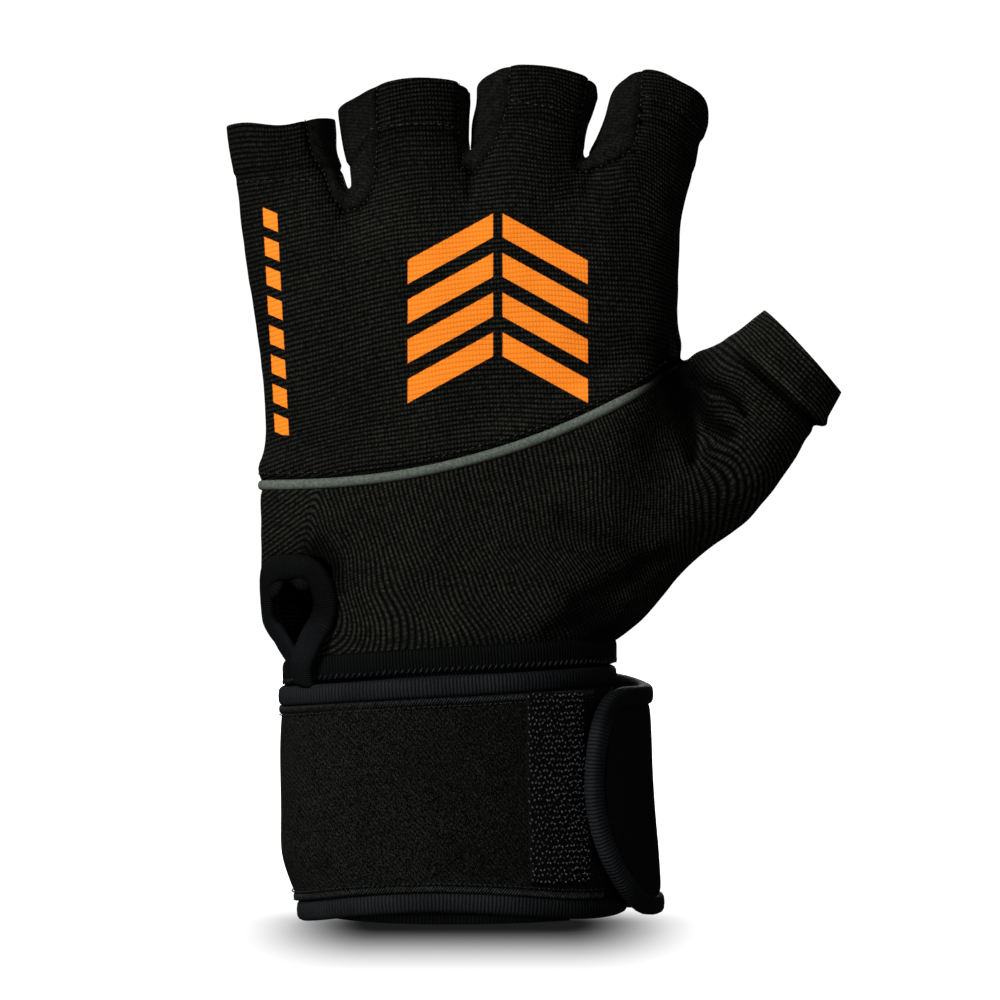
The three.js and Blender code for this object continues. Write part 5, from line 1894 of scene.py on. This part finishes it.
def shell_stitches(cord_line):
    bm = bmesh.new()

    def sew(line, kind):
        for at, out, forward in walk(line, STITCH_PITCH[kind]):
            add_stitch(bm, at, out, forward, **STITCHES[kind])

    for points in STITCH_ROWS:
        for from_y in (-OUTSIDE_Y, OUTSIDE_Y):
            sew(seen_on_shell(spline(points, 10), from_y, 0.12), "row")
    above = [at + Vector((0, 0, 1)) * 2.6 for at, _ in cord_line]
    sew(on_shell(smoothed(above, 4)[::3], 0.1), "piping")
    for chain in chains_of(LINES["gusset"]):
        outs = [Vector(NORMALS[number]).normalized() for number in chain]
        sew([(Vector(PLACES[number]) + out * 0.12, out) for number, out in zip(chain, outs)], "gusset")
    return object_from("shell_thread", bm)


# The stage


FLOOR_Z = -0.3
FLOOR_SIZE = 6000
SURROUND_GLOW = 0.07
SURROUND_SEEN = 1.05
# The soft shadow painted on the floor: a strip each side of x, and how fast it fades sideways and behind.
SHADOW = {"x": 0.5, "half_width": 20, "sideways": 3.3, "behind": 2.2, "dark_to": 12, "light_from": 112}
LIGHTS = table(
    ("name", "at", "to", "size", "power"),
    ("key", (-0.82, -0.82, 0.66), (0, 0, 0.1), 0.45, 22),
    ("front", (0.25, -1.4, 0.3), (0, 0, 0.1), 0.4, 5.5),
    ("back", (0.1, 1.4, 0.4), (0, 0, 0.1), 0.5, 7),
    ("top", (-0.2, 0.5, 0.9), (0, 0, 0.1), 0.6, 4),
)
CAMERA = {"at": (0.0068, -1.0, 0.0928), "lens": 163.6, "sensor": 36}


def lay_floor():
    """A pale floor under the glove, with a soft shadow painted into its glow and its colour."""
    bm = bmesh.new()
    bmesh.ops.create_grid(bm, x_segments=1, y_segments=1, size=FLOOR_SIZE)
    bmesh.ops.translate(bm, vec=(0, FLOOR_SIZE / 2, FLOOR_Z), verts=bm.verts)
    floor = object_from("floor", bm)
    look = Look("floor_look", Roughness=0.9, Specular_IOR_Level=0.1, Emission_Strength=1.0)
    x, y, _, _ = look.place()
    aside = ((x - SHADOW["x"]).size() - SHADOW["half_width"]).at_least(0) * SHADOW["sideways"]
    ahead = (y * -1).at_least(y * SHADOW["behind"])
    away = (aside * aside + ahead * ahead).power(0.5)
    light = look.step(away, SHADOW["dark_to"], SHADOW["light_from"])
    # Painted shadow: the floor glows less, and its colour is darker, near the glove.
    look.feed(Emission_Color=look.mix(light, (0.012, 0.012, 0.012, 1), (1, 1, 1, 1)))
    far = look.step(x.size().at_least(y.size()), 90, 160)
    look.feed(Base_Color=look.mix(far, (0.01, 0.01, 0.01, 1), (0.86, 0.86, 0.86, 1)))
    floor.data.materials.append(look.material)
    floor.visible_diffuse = floor.visible_glossy = False


def hang_lights():
    for light in LIGHTS:
        data = bpy.data.lights.new(light["name"], "AREA")
        data.energy = light["power"]
        data.size = light["size"]
        lamp = link(light["name"], data)
        lamp.location = light["at"]
        lamp.rotation_euler = (Vector(light["to"]) - lamp.location).to_track_quat("-Z", "Y").to_euler()


def surround():
    """A white background that is bright to the camera and faint as a light."""
    world = bpy.data.worlds.new("surround")
    world.use_nodes = True
    nodes, links = world.node_tree.nodes, world.node_tree.links
    seen = nodes.new("ShaderNodeLightPath")
    level = nodes.new("ShaderNodeMapRange")
    links.new(seen.outputs["Is Camera Ray"], level.inputs[0])
    level.inputs[3].default_value = SURROUND_GLOW
    level.inputs[4].default_value = SURROUND_SEEN
    links.new(level.outputs[0], nodes["Background"].inputs["Strength"])
    nodes["Background"].inputs["Color"].default_value = (1, 1, 1, 1)
    bpy.context.scene.world = world


def set_camera():
    scene = bpy.context.scene
    scene.view_settings.view_transform = "Standard"
    camera = link("camera", bpy.data.cameras.new("camera"))
    camera.data.sensor_width = CAMERA["sensor"]
    camera.data.lens = CAMERA["lens"]
    camera.location = CAMERA["at"]
    camera.rotation_euler = (math.pi / 2, 0, 0)
    scene.camera = camera


# The pieces

SHELL_TREE = shell_tree()
KNIT, PRINTED_KNIT, JERSEY = (knit_look(**row) for row in KNIT_LOOKS)
TAPE, SLIT_LOOK, HEM_LOOK = (tape_look(**row) for row in TAPE_LOOKS)
WRAP = wrap_look("wrap_cloth_look", (0.0006, 0.0006, 0.0006, 1), (0.0175, 0.0176, 0.016, 1))
THREAD, SEAM_THREAD, CORD, HOOK_BASE, HOOKS = (plain_look(**row) for row in PLAIN_LOOKS)
PANEL_CLOTHS = table(
    ("number", "ribs", "slot", "look"),
    (UPPER, upper_ribs, "ribbed_knit", PRINTED_KNIT),
    (LOWER, lower_ribs, "ribbed_knit", KNIT),
    (PALM, palm_ribs, "ribbed_knit", KNIT),
    (FIRST_GUSSET, gusset_ribs, "smooth_knit", JERSEY),
    (FIRST_GUSSET + 1, gusset_ribs, "smooth_knit", JERSEY),
    (FIRST_GUSSET + 2, gusset_ribs, "smooth_knit", JERSEY),
)
panels = [
    finish_piece(panel_object(row["number"], row["ribs"]), row["look"], [PANELS[row["number"]]])
    for row in PANEL_CLOTHS
]
cord, cord_line = piping_cord()
finish_piece(cord, CORD, ["piping"])
hem = finish_piece(hem_tape(), HEM_LOOK, ["hem_binding"])
hem_thread = finish_piece(hem_stitches(), THREAD)
slit = finish_piece(slit_tape(), SLIT_LOOK, ["slit_binding"])
fold = finish_piece(slit_fold(), SLIT_LOOK)
band = finish_piece(strap_band(), WRAP, ["wrist_strap"])
finish_piece(strap_tape(), TAPE, ["strap_binding"])
finish_piece(strap_stitches(), THREAD)
finish_piece(hook_base(), HOOK_BASE, ["hook_patch"])
finish_piece(hook_field(), HOOKS)
shell_thread = finish_piece(shell_stitches(cord_line), SEAM_THREAD)

lay_floor()
hang_lights()
surround()
set_camera()
